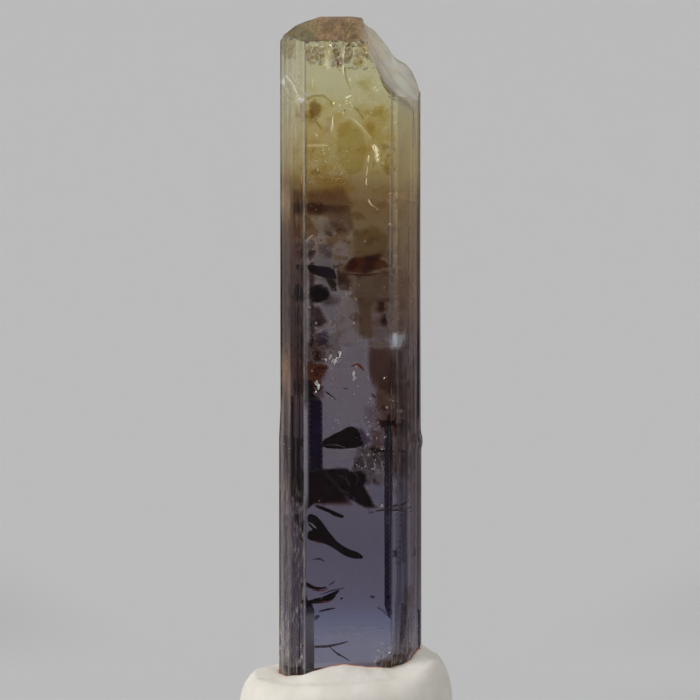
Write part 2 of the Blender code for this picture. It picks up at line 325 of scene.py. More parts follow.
def crystal_mesh():
    columns = wall_columns()
    n = len(columns[0])
    side = columns[0]
    rows = []
    low = np.full(n, 3.3)
    x, y = wall_place(columns, low)
    rows.append(np.column_stack([x, y, foot_height(x, y)]))
    for z in np.arange(3.3, WALL_TOP_Z - 0.01, ROW_STEP):
        x, y = wall_place(columns, np.full(n, z))
        rows.append(np.column_stack([x, y, np.full(n, z)]))
    x, y = wall_place(columns, np.full(n, CRYSTAL_TOP_Z))
    tops = top_height(x, y)
    for k in range(RIM_ROWS + 1):
        share = k / RIM_ROWS
        z = WALL_TOP_Z * (1 - share) + tops * share
        rows.append(np.column_stack([x, y, z]))
    sides = [side] * len(rows)
    for row in rows[1:]:
        front = (side == 0) & (columns[1] > 0.0)
        row[front, 1] += front_relief(row[front, 0], row[front, 2])
    verts = np.concatenate(rows)
    faces = []
    for r in range(len(rows) - 1):
        a = r * n
        for k in range(n):
            b = (k + 1) % n
            faces.append((a + k, a + b, a + n + b, a + n + k))
    last = (len(rows) - 1) * n
    for ring_at, step, height_at in ((last, CAP_STEP, top_height), (0, 0.3, foot_height)):
        extra, cap = fill_outline(verts[ring_at:ring_at + n, 0], verts[ring_at:ring_at + n, 1], step)
        heights = height_at(extra[:, 0], extra[:, 1])
        if ring_at:
            heights = heights - cap_relief(extra[:, 0], extra[:, 1])
        faces += [[ring_at + i if i < n else len(verts) + i - n for i in f] for f in cap]
        verts = np.concatenate([verts, np.column_stack([extra, heights])])
        sides.append(np.full(len(extra), -1 if ring_at else -2))
    return mesh_from("tanzanite_prism", verts + np.array([CRYSTAL_X, 0, 0]), faces), np.concatenate(sides), verts


def mesh_from(name, verts, faces):
    """A mesh in metres from points in millimetres, with its faces turned outwards."""
    mesh = bpy.data.meshes.new(name)
    mesh.from_pydata((np.asarray(verts) * MM).tolist(), [], faces)
    bm = bmesh.new()
    bm.from_mesh(mesh)
    bmesh.ops.recalc_face_normals(bm, faces=bm.faces)
    bad = sum(1 for e in bm.edges if len(e.link_faces) != 2)
    print(name, len(bm.verts), len(bm.faces), "bad edges", bad)
    bm.to_mesh(mesh)
    bm.free()
    return mesh


def paint(mesh, name, colours):
    """Stores one colour for each point of a mesh; colours has three columns."""
    layer = mesh.color_attributes.new(name, "FLOAT_COLOR", "POINT")
    full = np.ones((len(mesh.vertices), 4), dtype=np.float32)
    full[:, :3] = colours
    layer.data.foreach_set("color", full.ravel())


def banded(table, z):
    """Colours along the height from a table of height and colour."""
    heights = [row[0] for row in table]
    return np.column_stack([np.interp(z, heights, [row[1][k] for row in table]) for k in range(3)])


# Tones of the side faces along the height: the outer and inner half at the left, and the right side.
# Besides the crystal's colour along the height, the left ones hold painted light and shade: the outer half
# is painted lighter where it faces the soft box at the left, and the inner half darker.
LEFT_OUTER = (
    (4, (0.75, 0.62, 0.50)), (6.3, (0.72, 0.55, 0.42)), (8.4, (0.60, 0.46, 0.38)), (10.7, (0.48, 0.36, 0.32)),
    (13.8, (0.42, 0.26, 0.22)), (16.5, (0.45, 0.28, 0.20)), (19, (0.90, 0.46, 0.18)), (20.9, (0.50, 0.28, 0.16)),
    (23.2, (0.32, 0.18, 0.12)), (26.1, (0.55, 0.32, 0.18)), (27, (0.90, 0.70, 0.45)),
    (28.5, (1, 0.86, 0.60)), (31, (1, 1, 0.95)),
)
LEFT_INNER = (
    (4, (0.20, 0.13, 0.10)), (6.3, (0.22, 0.15, 0.12)), (8.4, (0.30, 0.20, 0.18)), (10.7, (0.32, 0.22, 0.22)),
    (13.8, (0.08, 0.04, 0.04)), (16.5, (0.09, 0.06, 0.07)), (19, (0.24, 0.07, 0.04)), (20.9, (0.12, 0.07, 0.05)),
    (23.2, (0.20, 0.10, 0.07)), (26.1, (0.42, 0.22, 0.13)), (28.5, (0.95, 0.80, 0.50)), (31, (1, 1, 0.95)),
)
RIGHT_SIDE = (
    (4, (0.60, 0.50, 0.42)), (6.3, (0.60, 0.44, 0.34)), (8.4, (0.75, 0.56, 0.48)), (10.7, (0.55, 0.38, 0.34)),
    (13.8, (0.45, 0.28, 0.25)), (16.5, (0.26, 0.15, 0.15)), (19, (0.34, 0.20, 0.17)), (20.9, (0.60, 0.36, 0.28)),
    (23.2, (0.90, 0.55, 0.36)), (26.1, (0.95, 0.66, 0.40)), (28.5, (1, 0.95, 0.70)), (31, (1, 1, 1)),
)
# Painted shade on the steep bevel at the right front: how strongly its tint is darkened along the height.
BEVEL_SHADE = ((5, 0.8), (9.5, 0.75), (11.5, 0.85), (14, 0.85), (17, 0.5), (21, 0.0))
RIGHT_TONE = (
    (19.5, (1, 1, 1)), (21, (0.90, 0.70, 0.56)), (23.5, (0.80, 0.54, 0.38)), (26, (1.15, 1.05, 0.72)),
    (28.5, (0.98, 0.86, 0.56)), (31, (1.2, 1.2, 1.08)), (33, (1.1, 1.1, 1)),
)
RIGHT_HAZE = ((20.4, (0.60, 0.36, 0.14)), (22.5, (0.72, 0.42, 0.16)), (26, (1, 0.70, 0.34)),
              (28.5, (1, 0.80, 0.44)), (31.4, (1, 0.90, 0.58)), (32.1, (1, 0.96, 0.82)))
# Colours of the scattering surface where no other colour is set: the painted highlight along the front-left edge and on
# the narrow facet at the right front, and the pale strip beside the front-left edge.
WORN_EDGE_AND_HIGHLIGHT = ((4, (0.34, 0.30, 0.28)), (12, (0.30, 0.27, 0.28)), (20, (0.34, 0.29, 0.27)), (25.5, (0.40, 0.33, 0.27)),
             (27, (0.62, 0.52, 0.36)), (36, (0.66, 0.62, 0.50)))


# Etched patches near the top: first and last x, first and last y in pixels, strength, tone.
ETCHED = (
    (304, 325, 49, 68, 0.85, (0.48, 0.37, 0.24)),
    (331, 343, 45, 72, 0.85, (0.34, 0.23, 0.13)),
    (297, 329, 40, 50, 0.35, (1.0, 1.0, 1.0)),
    (280, 297, 38, 62, 0.45, (0.40, 0.31, 0.15)),
    (341, 354, 37, 66, 0.60, (0.34, 0.25, 0.14)),
    (354, 372, 40, 62, 0.55, (0.80, 0.66, 0.46)),
)


def crystal_paint(mesh, sides, verts):
    """Tint: colour that light picks up, with painted light and shade on some side faces. Worn and frost: colour and
    strength of a scattering surface, real frosting and etch in places, painted highlight and painted light in others.
    """
    x, y, z = verts[:, 0], verts[:, 1], verts[:, 2]
    count = len(verts)
    tint = np.ones((count, 3))
    left_outer = np.isin(sides, (14, 15, 16)) & (x < 0)
    left_inner = np.isin(sides, (17,)) & (x < 0)
    right = np.isin(sides, (5, 6, 7, 8)) & (x > 0)
    for part, table in ((left_outer, LEFT_OUTER), (left_inner, LEFT_INNER), (right, RIGHT_SIDE)):
        tint = np.where(part[:, None], banded(table, z), tint)
    beside = np.isin(sides, (2, 3, 4)) & (x > 2.2)
    tint = np.where(beside[:, None], tint * banded(RIGHT_TONE, z), tint)
    # The bevel at the right front is darkened in streaks, as painted shade.
    streak = smooth(grain(x, y, z, (0.08, 0.08, 6.0), 13) * 4.0 + 0.5)
    bevel_shade = (np.isin(sides, (3,)) | ((sides == 2) & (x > 2.2))) * along(BEVEL_SHADE, z) * (0.4 + 0.6 * streak)
    tint *= 1 - bevel_shade[:, None] * (1 - np.array((0.14, 0.12, 0.18)))
    long_streak = grain(x, y, z, (0.09, 0.09, 5.0), 15)
    flank = left_outer | left_inner | right
    tint *= np.where(flank, 1 + 0.35 * long_streak, 1 + 0.05 * long_streak)[:, None]
    edge_noise = grain(x, y, z, (0.3, 0.3, 0.5), 11)
    fine_noise = grain(x, y, z, (0.1, 0.1, 0.22), 12)
    speck = smooth(grain(x, y, z, (0.11, 0.13, 0.13), 16) * 1.7 + 0.5)
    worn_and_highlight = banded(WORN_EDGE_AND_HIGHLIGHT, z)
    frost_and_highlight = np.zeros(count)

    def scatter_light(strength, colour=None):
        nonlocal worn_and_highlight, frost_and_highlight
        if colour is not None:
            worn_and_highlight = np.where((strength > frost_and_highlight)[:, None], colour, worn_and_highlight)
        frost_and_highlight = np.maximum(frost_and_highlight, strength)

    upper_left = (left_outer | left_inner) * smooth((z - 27.6) / 2.5) * (0.28 + 0.2 * edge_noise)
    scatter_light(upper_left, np.array((0.72, 0.66, 0.50)))
    # Painted highlight: a lighter scattering line along the front-left edge where it catches light, whiter near the
    # top.
    edge_highlight = np.exp(-((x + 2.24) / 0.05) ** 2) * np.isin(sides, (0, 17))
    scatter_light(edge_highlight * smooth((30.2 - z) / 1.0) * (0.35 + 0.4 * smooth(0.4 + edge_noise * 1.2)))
    upper_edge_highlight = edge_highlight * np.where(sides == 17, 0.35, 1.0) * smooth((z - 27.2) / 0.8)
    scatter_light(upper_edge_highlight * 0.7, np.array((1.0, 0.94, 0.72)))
    pale_strip = (sides == 0) * smooth((x + 2.26) / 0.03) * smooth((-2.0 - x) / 0.12)
    pale_strip = pale_strip * smooth((25.8 - z) / 0.6) * smooth((z - 11.8) / 0.5)
    scatter_light(pale_strip * (0.22 + 0.12 * edge_noise))
    blue_strip = pale_strip * smooth((z - 12.5) / 0.5) * smooth((17.6 - z) / 0.5)
    scatter_light(blue_strip * 0.5, np.array((0.45, 0.42, 0.55)))
    # Painted highlight on the narrow facet at the right front, in its lower part.
    scatter_light(np.isin(sides, (4,)) * 0.3 * smooth(0.4 + edge_noise) * smooth((21.0 - z) / 1.0))
    on_step = np.isin(sides, (1,)) | ((sides == 0) & (x > 1.93)) | ((sides == 2) & (x < 2.13))
    scatter_light(on_step * smooth((z - 19.5) / 1.0) * smooth((33.2 - z) / 0.5) * (0.2 + 0.12 * smooth((z - 24.0) / 2.0)),
                  0.8 * banded(RIGHT_HAZE, z))
    # Painted light: the outermost strip of the left flank is painted lighter, where it faces the soft box at the left.
    outer_light = np.isin(sides, (15, 16)) * (x < -3.25) * smooth((18.5 - z) / 1.5) * (0.3 + 0.2 * fine_noise)
    scatter_light(outer_light, np.array((0.85, 0.78, 0.72)))
    ridge_light = np.isin(sides, (16, 17)) * np.exp(-((x + 2.95) / 0.08) ** 2) * smooth((19.5 - z) / 1.0)
    scatter_light(ridge_light * 0.4, np.array((0.50, 0.42, 0.40)))
    light_lines = smooth(grain(x, y, z, (0.05, 0.05, 7.0), 27) * 4 - 1.0) * smooth((17.5 - z) / 1.0)
    scatter_light(np.isin(sides, (3,)) * light_lines * 0.3, np.array((0.58, 0.56, 0.62)))
    right_haze = np.isin(sides, (2, 3, 4, 5)) * (x > 2.2) * smooth((z - 20.4) / 1.5) * smooth((34.0 - z) / 1.6)
    scatter_light(right_haze * (0.26 + 0.26 * smooth((z - 26.5) / 2.5) + 0.05 * edge_noise), banded(RIGHT_HAZE, z))
    facing = np.isin(sides, (15, 16)) * smooth((-0.35 - y) / 0.5)
    orange_light = facing * np.exp(-((z - 18.9) / 1.1) ** 2) * (0.12 + 0.26 * smooth(0.5 + edge_noise))
    scatter_light(orange_light, np.array((0.95, 0.55, 0.30)))
    warm_light = facing * np.exp(-((z - 27.3) / 0.9) ** 2) * (0.34 + 0.12 * edge_noise)
    scatter_light(warm_light, np.array((0.90, 0.70, 0.46)))
    crust = left_outer * np.exp(-((z - 13.0) / 0.9) ** 2) * smooth(fine_noise * 3.0 + 0.1) * 0.6
    scatter_light(crust, np.array((0.78, 0.68, 0.52)))
    low_strip = (sides == 0) * smooth((x + 2.26) / 0.03) * smooth((-1.70 - x) / 0.06) * smooth((7.35 - z) / 0.2)
    low_strip = low_strip * (0.09 + 0.10 * smooth((z - 5.6) / 0.6) + 0.04 * edge_noise)
    scatter_light(low_strip, np.array((0.40, 0.36, 0.62)))
    nub = np.isin(sides, (6,)) * np.exp(-((z - 15.45) / 0.25) ** 2) * smooth((0.1 - y) / 0.5)
    scatter_light(nub * 0.6 * smooth(0.6 + edge_noise), np.array((0.70, 0.65, 0.60)))
    chips = (left_outer | left_inner) * smooth((14.5 - z) / 2.0) * smooth(fine_noise * 2.4 - 0.15) * 0.55
    chips = chips * (1 + 0.5 * smooth((8.0 - z) / 2.0))
    scatter_light(chips, np.array((0.55, 0.50, 0.45)))
    outer_edge = np.isin(sides, (15,)) * smooth((14.5 - z) / 2.0) * 0.25 * smooth(0.5 + edge_noise)
    scatter_light(outer_edge, np.array((0.55, 0.50, 0.46)))
    # Where each point shows in the photograph, for the etched patches and the splintered spot near the top.
    seen_x = PHOTO_MID_X + x * PX_PER_MM
    seen_y = 674.0 - (z + y * SLOPE_IN_AIR - 4.0) * PX_PER_MM
    pepper = smooth(grain(x, y, z, (0.10, 0.10, 0.14), 28) * 2.5 + 0.5)
    salt = smooth(grain(x, y, z, (0.07, 0.07, 0.10), 24) * 3.6 - 0.15)
    for left, right_end, top, bottom, strength, tone in ETCHED:
        ragged = 1.1 * edge_noise + 0.8 * fine_noise
        patch = smooth((seen_x - left) / 3 + ragged) * smooth((right_end - seen_x) / 3 + ragged)
        patch = patch * smooth((seen_y - top) / 3 + ragged) * smooth((bottom - seen_y) / 4 + ragged)
        patch = patch * np.isin(sides, (0, 16, 17)) * (y < 0)
        tone = np.array(tone)
        tint = tint * (1 - (patch * (0.55 + 0.75 * pepper))[:, None] * (1 - tone))
        specks = 0.5 * tone + (np.array((0.98, 0.93, 0.82)) - 0.5 * tone) * salt[:, None]
        scatter_light(patch * strength * (0.25 + 0.75 * salt), specks)
    # The splintered spot near the top of the left flank: its splinters are painted near-white, a painted highlight
    # where they sparkle.
    down = (seen_x - 284) * 0.64 + (seen_y - 78) * 0.77
    aside = (seen_y - 78) * 0.64 - (seen_x - 284) * 0.77
    splinter_sparkle = grain(seen_x * 0.84 - seen_y * 0.53, y * 0, seen_x * 0.53 + seen_y * 0.84, (2.0, 1, 8.0), 25)
    splinter_sparkle = smooth(splinter_sparkle * 6.0 + 0.3) * (0.7 + 0.3 * pepper) * np.exp(-(aside / 7.5) ** 2)
    splinter_sparkle = splinter_sparkle * smooth((down + 2) / 4)
    splinter_sparkle = splinter_sparkle * smooth((38 - down) / 6) * np.isin(sides, (0, 16, 17)) * (y < 0)
    scatter_light(splinter_sparkle, np.array((1.0, 0.99, 0.95)))
    pale_spot = smooth((seen_x - 389) / 3 + edge_noise) * smooth((405 - seen_x) / 4 + edge_noise)
    pale_spot = pale_spot * smooth((seen_y - 331) / 5 + edge_noise) * smooth((349 - seen_y) / 5 + edge_noise)
    pale_spot = pale_spot * np.isin(sides, (0, 1, 2, 3, 4)) * (y < 0)
    scatter_light(pale_spot * 0.6, np.array((0.72, 0.86, 0.95)))
    # Painted highlight: a warm bright line along a crack at the upper right, where it sparkles.
    crack_y = np.interp(seen_x, (380, 391, 397, 405, 418), (212, 204, 197, 196, 202))
    crack_highlight = np.exp(-((seen_y - crack_y) / 2.6) ** 2) * (seen_x > 388) * (y < 0)
    scatter_light(crack_highlight * np.isin(sides, (1, 2, 3, 4, 5)) * 0.5, np.array((1.0, 0.86, 0.62)))
    corner = smooth((seen_y - 658 + (seen_x - 376) * 0.5) / 6) * smooth((seen_x - 374) / 4) * (y < 0.5) * (z < 7)
    corner = corner * np.isin(sides, (0, 1, 2, 3, 4, 5, 6)) * smooth(0.75 + edge_noise)
    tint = tint * (1 - corner[:, None] * (1 - np.array((0.66, 0.54, 0.42))))
    tint = tint * (1 - 0.5 * corner * pepper)[:, None]
    scatter_light(corner * salt * 0.7, np.array((0.86, 0.82, 0.72)))
    on_cap = sides == -1
    dome = on_cap * smooth((shoulder_height(x, y) - dome_height(x, y)) / 0.1)
    fade = smooth((0.95 - x) / 0.7)
    patches = smooth(grain(x, y, z, (0.5, 0.6, 0.5), 18) * 1.5 + 0.55)
    dust = smooth(grain(x, y, z, (0.075, 0.09, 0.09), 19) * 2.0 + 0.5)
    dark, light = np.array((0.03, 0.015, 0.003)), np.array((0.42, 0.235, 0.08))
    mottled = dark + (light - dark) * (0.1 + 0.9 * (0.35 + 0.65 * patches) * (0.3 * speck + 0.7 * dust))[:, None]
    olive = smooth((-1.2 - x) / 0.8)[:, None] * np.array((-0.02, 0.03, 0.01))
    rim = (np.exp(-((y + 0.72) / 0.2) ** 2) * smooth((x + 1.9) / 0.3) * smooth((0.5 - x) / 0.3))[:, None]
    mottled = (mottled + olive) * (1 - rim) + np.array((0.48, 0.24, 0.13)) * rim
    pinkish = np.array((0.46, 0.38, 0.30)) * (0.8 + 0.3 * speck)[:, None]
    cap_colour = mottled * fade[:, None] + pinkish * (1 - fade)[:, None]
    scatter_light(dome * 0.8, cap_colour)
    tint = np.where((dome > 0)[:, None], tint * (1 - dome[:, None] * (1 - np.array((0.20, 0.11, 0.03)))), tint)
    # The hollow of the shoulder is glassy, but it is painted as a pale scattering surface: painted light that stands in
    # for the bright backdrop seen through it, with lighter arcs and darker bands along its lower edge and skyline.
    hollow = on_cap * (1 - dome)
    lower_edge = np.exp(-((y + 2.5) / 0.35) ** 2) * (x > 1.3)
    broad = grain(x, y, z, (0.6, 0.7, 0.7), 20)
    arcs = grain(np.hypot(x - 1.2, (y + 2.4) * 0.8), x * 0, x * 0, (0.17, 1, 1), 26)
    pale = np.array((1.0, 0.93, 0.80)) * (0.92 + 0.3 * broad + 0.22 * arcs + 0.12 * salt)[:, None]
    pale = pale * (1 - lower_edge[:, None]) + np.array((0.26, 0.20, 0.13)) * lower_edge[:, None]
    tan_part = smooth((2.0 - x) / 0.9) * smooth(0.55 + edge_noise + 0.6 * broad)
    pale = pale * (1 - tan_part[:, None] * (1 - np.array((0.88, 0.74, 0.60))))
    skyline = np.exp(-((y - 1.45) / 0.14) ** 2) * pepper * smooth((x - 1.5) / 0.6)
    pale = pale * (1 - skyline[:, None]) + np.array((0.30, 0.20, 0.12)) * skyline[:, None]
    scatter_light(hollow * (0.86 + 0.1 * broad), np.clip(pale, 0, 1))
    lip = on_cap * (x < 0.9) * smooth((-2.15 - y) / 0.25) * smooth(edge_noise * 2.5 + 0.35)
    scatter_light(lip * 0.85, np.array((0.62, 0.55, 0.40)) * (0.6 + 0.5 * speck)[:, None])
    paint(mesh, "tint", np.clip(tint, 0, 1.2))
    paint(mesh, "worn_and_highlight", worn_and_highlight)
    paint(mesh, "frost_and_highlight", np.repeat(np.clip(frost_and_highlight, 0, 1)[:, None], 3, axis=1))


def rounded(points, passes=2):
    """Cuts the corners of a closed outline, so that it runs smoothly."""
    points = np.array(points, float)
    for _ in range(passes):
        after = np.roll(points, -1, axis=0)
        points = np.stack([points * 0.75 + after * 0.25, points * 0.25 + after * 0.75], 1).reshape(-1, 2)
    return points


def stepped(points, gap):
    """Sets out a closed outline in even steps."""
    closed = np.vstack([points, points[:1]])
    run = np.concatenate([[0], np.cumsum(np.hypot(*np.diff(closed, axis=0).T))])
    count = max(8, int(run[-1] / gap))
    places = np.arange(count) / count * run[-1]
    return np.column_stack([np.interp(places, run, closed[:, 0]), np.interp(places, run, closed[:, 1])])


def ribbon(points, width):
    """The outline, in pixels, of a thin tapering line through the points."""
    points = np.array(points, float)
    run = np.concatenate([[0], np.cumsum(np.hypot(*np.diff(points, axis=0).T))])
    count = max(4, int(run[-1] / 2.5))
    places = np.linspace(0, run[-1], count)
    line = np.column_stack([np.interp(places, run, points[:, 0]), np.interp(places, run, points[:, 1])])
    ahead = np.gradient(line, axis=0)
    ahead /= np.hypot(ahead[:, 0], ahead[:, 1])[:, None]
    across = np.column_stack([-ahead[:, 1], ahead[:, 0]])
    half = width / 2 * (0.25 + 0.75 * np.sin(np.linspace(0.15, math.pi - 0.15, count)))[:, None]
    return np.vstack([line + across * half, (line - across * half)[::-1]])


class Plates:
    """Collects thin closed plates that lie inside the crystal, each with its own colour and place."""

    def __init__(self):
        self.verts, self.faces, self.colours, self.shares = [], [], [], []

    def add(self, outline, colour, depth, tilt=(0.0, 0.0), soft=0.0, curl=0.06, passes=1, thick=0.02, seed=0,
            patch=None):
        outline = rounded(outline, passes) if passes else np.array(outline, float)
        x, z = seen_at(outline[:, 0], outline[:, 1], depth)
        ring = stepped(np.column_stack([x, z]), 0.06)
        count = len(ring)
        wobble = grain(ring[:, 0], ring[:, 1] * 0, ring[:, 1], (0.35, 1, 0.35), 20 + seed)
        wobble = wobble + 0.6 * grain(ring[:, 0], ring[:, 1] * 0, ring[:, 1], (0.12, 1, 0.12), 30 + seed)
        middle = ring.mean(0)
        outward = ring - middle
        outward /= np.hypot(outward[:, 0], outward[:, 1])[:, None] + 1e-9
        ring = ring + outward * (wobble * min(0.035, 0.012 * math.sqrt(count)))[:, None]
        extra, faces = fill_outline(ring[:, 0], ring[:, 1], 0.15)
        places = np.vstack([ring, extra])
        dx, dz = places[:, 0] - middle[0], places[:, 1] - middle[1]
        y = depth + tilt[0] * dx + tilt[1] * dz
        y = y + curl * grain(places[:, 0], y * 0, places[:, 1], (1.1, 1, 0.9), 40 + seed)
        across = places[:, 0] - CRYSTAL_X
        y = np.clip(y, along(INSIDE_FRONT, across) + thick, along(INSIDE_BACK, across) - thick)
        z = places[:, 1] - (y - depth) * SLOPE_IN_CRYSTAL
        z = np.minimum(z, top_height(across, y) - 0.06)
        edge = np.full(len(places), 0.0)
        for k in range(count):
            a, b = ring[k - 1], ring[k]
            t = np.clip(((places - a) @ (b - a)) / max(1e-12, (b - a) @ (b - a)), 0, 1)
            gap = np.hypot(*(places - a - t[:, None] * (b - a)).T)
            edge = gap if k == 0 else np.minimum(edge, gap)
        share = smooth(edge / soft) if soft else np.ones(len(places))
        patchy = grain(places[:, 0], y * 0, z, (0.5, 1, 0.4), 60 + seed)
        if patch is not None:
            coarse = grain(places[:, 0], y * 0, z, (0.9, 1, 0.8), 70 + seed)
            fine = grain(places[:, 0], y * 0, z, (0.22, 1, 0.25), 90 + seed)
            share = share * smooth(patch + 1.6 * coarse + 0.8 * patchy + 0.5 * fine)
        share = np.clip(share * (1 + 0.25 * patchy), 0, 1)[:, None]
        tint = np.array(colour) ** share
        base = sum(len(v) for v in self.verts)
        total = len(places)
        front = np.column_stack([places[:, 0], y - thick / 2, z])
        back = np.column_stack([places[:, 0], y + thick / 2, z])
        self.verts += [front, back]
        self.colours += [tint, tint]
        self.shares += [share, share]
        self.faces += [[base + i for i in f] for f in faces]
        self.faces += [[base + total + i for i in f[::-1]] for f in faces]
        for k in range(count):
            j = (k + 1) % count
            self.faces.append([base + k, base + j, base + total + j, base + total + k])

    def build(self, name):
        return mesh_from(name, np.concatenate(self.verts), self.faces)


# BLACK, INK and WINE colour dark sheets and cracks inside the crystal: partly dark inclusions, partly painted shade
# where cracks look dark by total internal reflection.
BLACK = (0.005, 0.003, 0.005)
INK = (0.07, 0.04, 0.07)
WINE = (0.10, 0.03, 0.02)
RUST = (0.36, 0.12, 0.03)
BROWN = (0.55, 0.32, 0.13)
OLIVE = (0.72, 0.58, 0.38)
UMBER = (0.34, 0.19, 0.11)
SMOKE = (0.55, 0.52, 0.55)
PLUM = (0.20, 0.12, 0.12)
DUSK = (0.30, 0.24, 0.30)
TEA = (0.52, 0.40, 0.30)
FAWN = (0.66, 0.50, 0.34)
CLAY = (0.70, 0.58, 0.48)
BARK = (0.30, 0.15, 0.07)
LICHEN = (0.72, 0.62, 0.38)
MOSS = (0.22, 0.20, 0.09)
NIGHT = (0.25, 0.24, 0.38)
HONEY = (0.92, 0.84, 0.62)
# VIOLET colours two sheets of painted shade: dark violet bands near the left and the right of the front.
VIOLET = (0.06, 0.02, 0.24)
ETCH = (0.50, 0.40, 0.26)
SHADE = (0.24, 0.18, 0.11)
WHITE = (1.0, 0.98, 0.92)
ICE = (0.85, 0.92, 1.0)
LILAC = (0.95, 0.90, 1.0)
STRAW = (1.0, 0.84, 0.60)
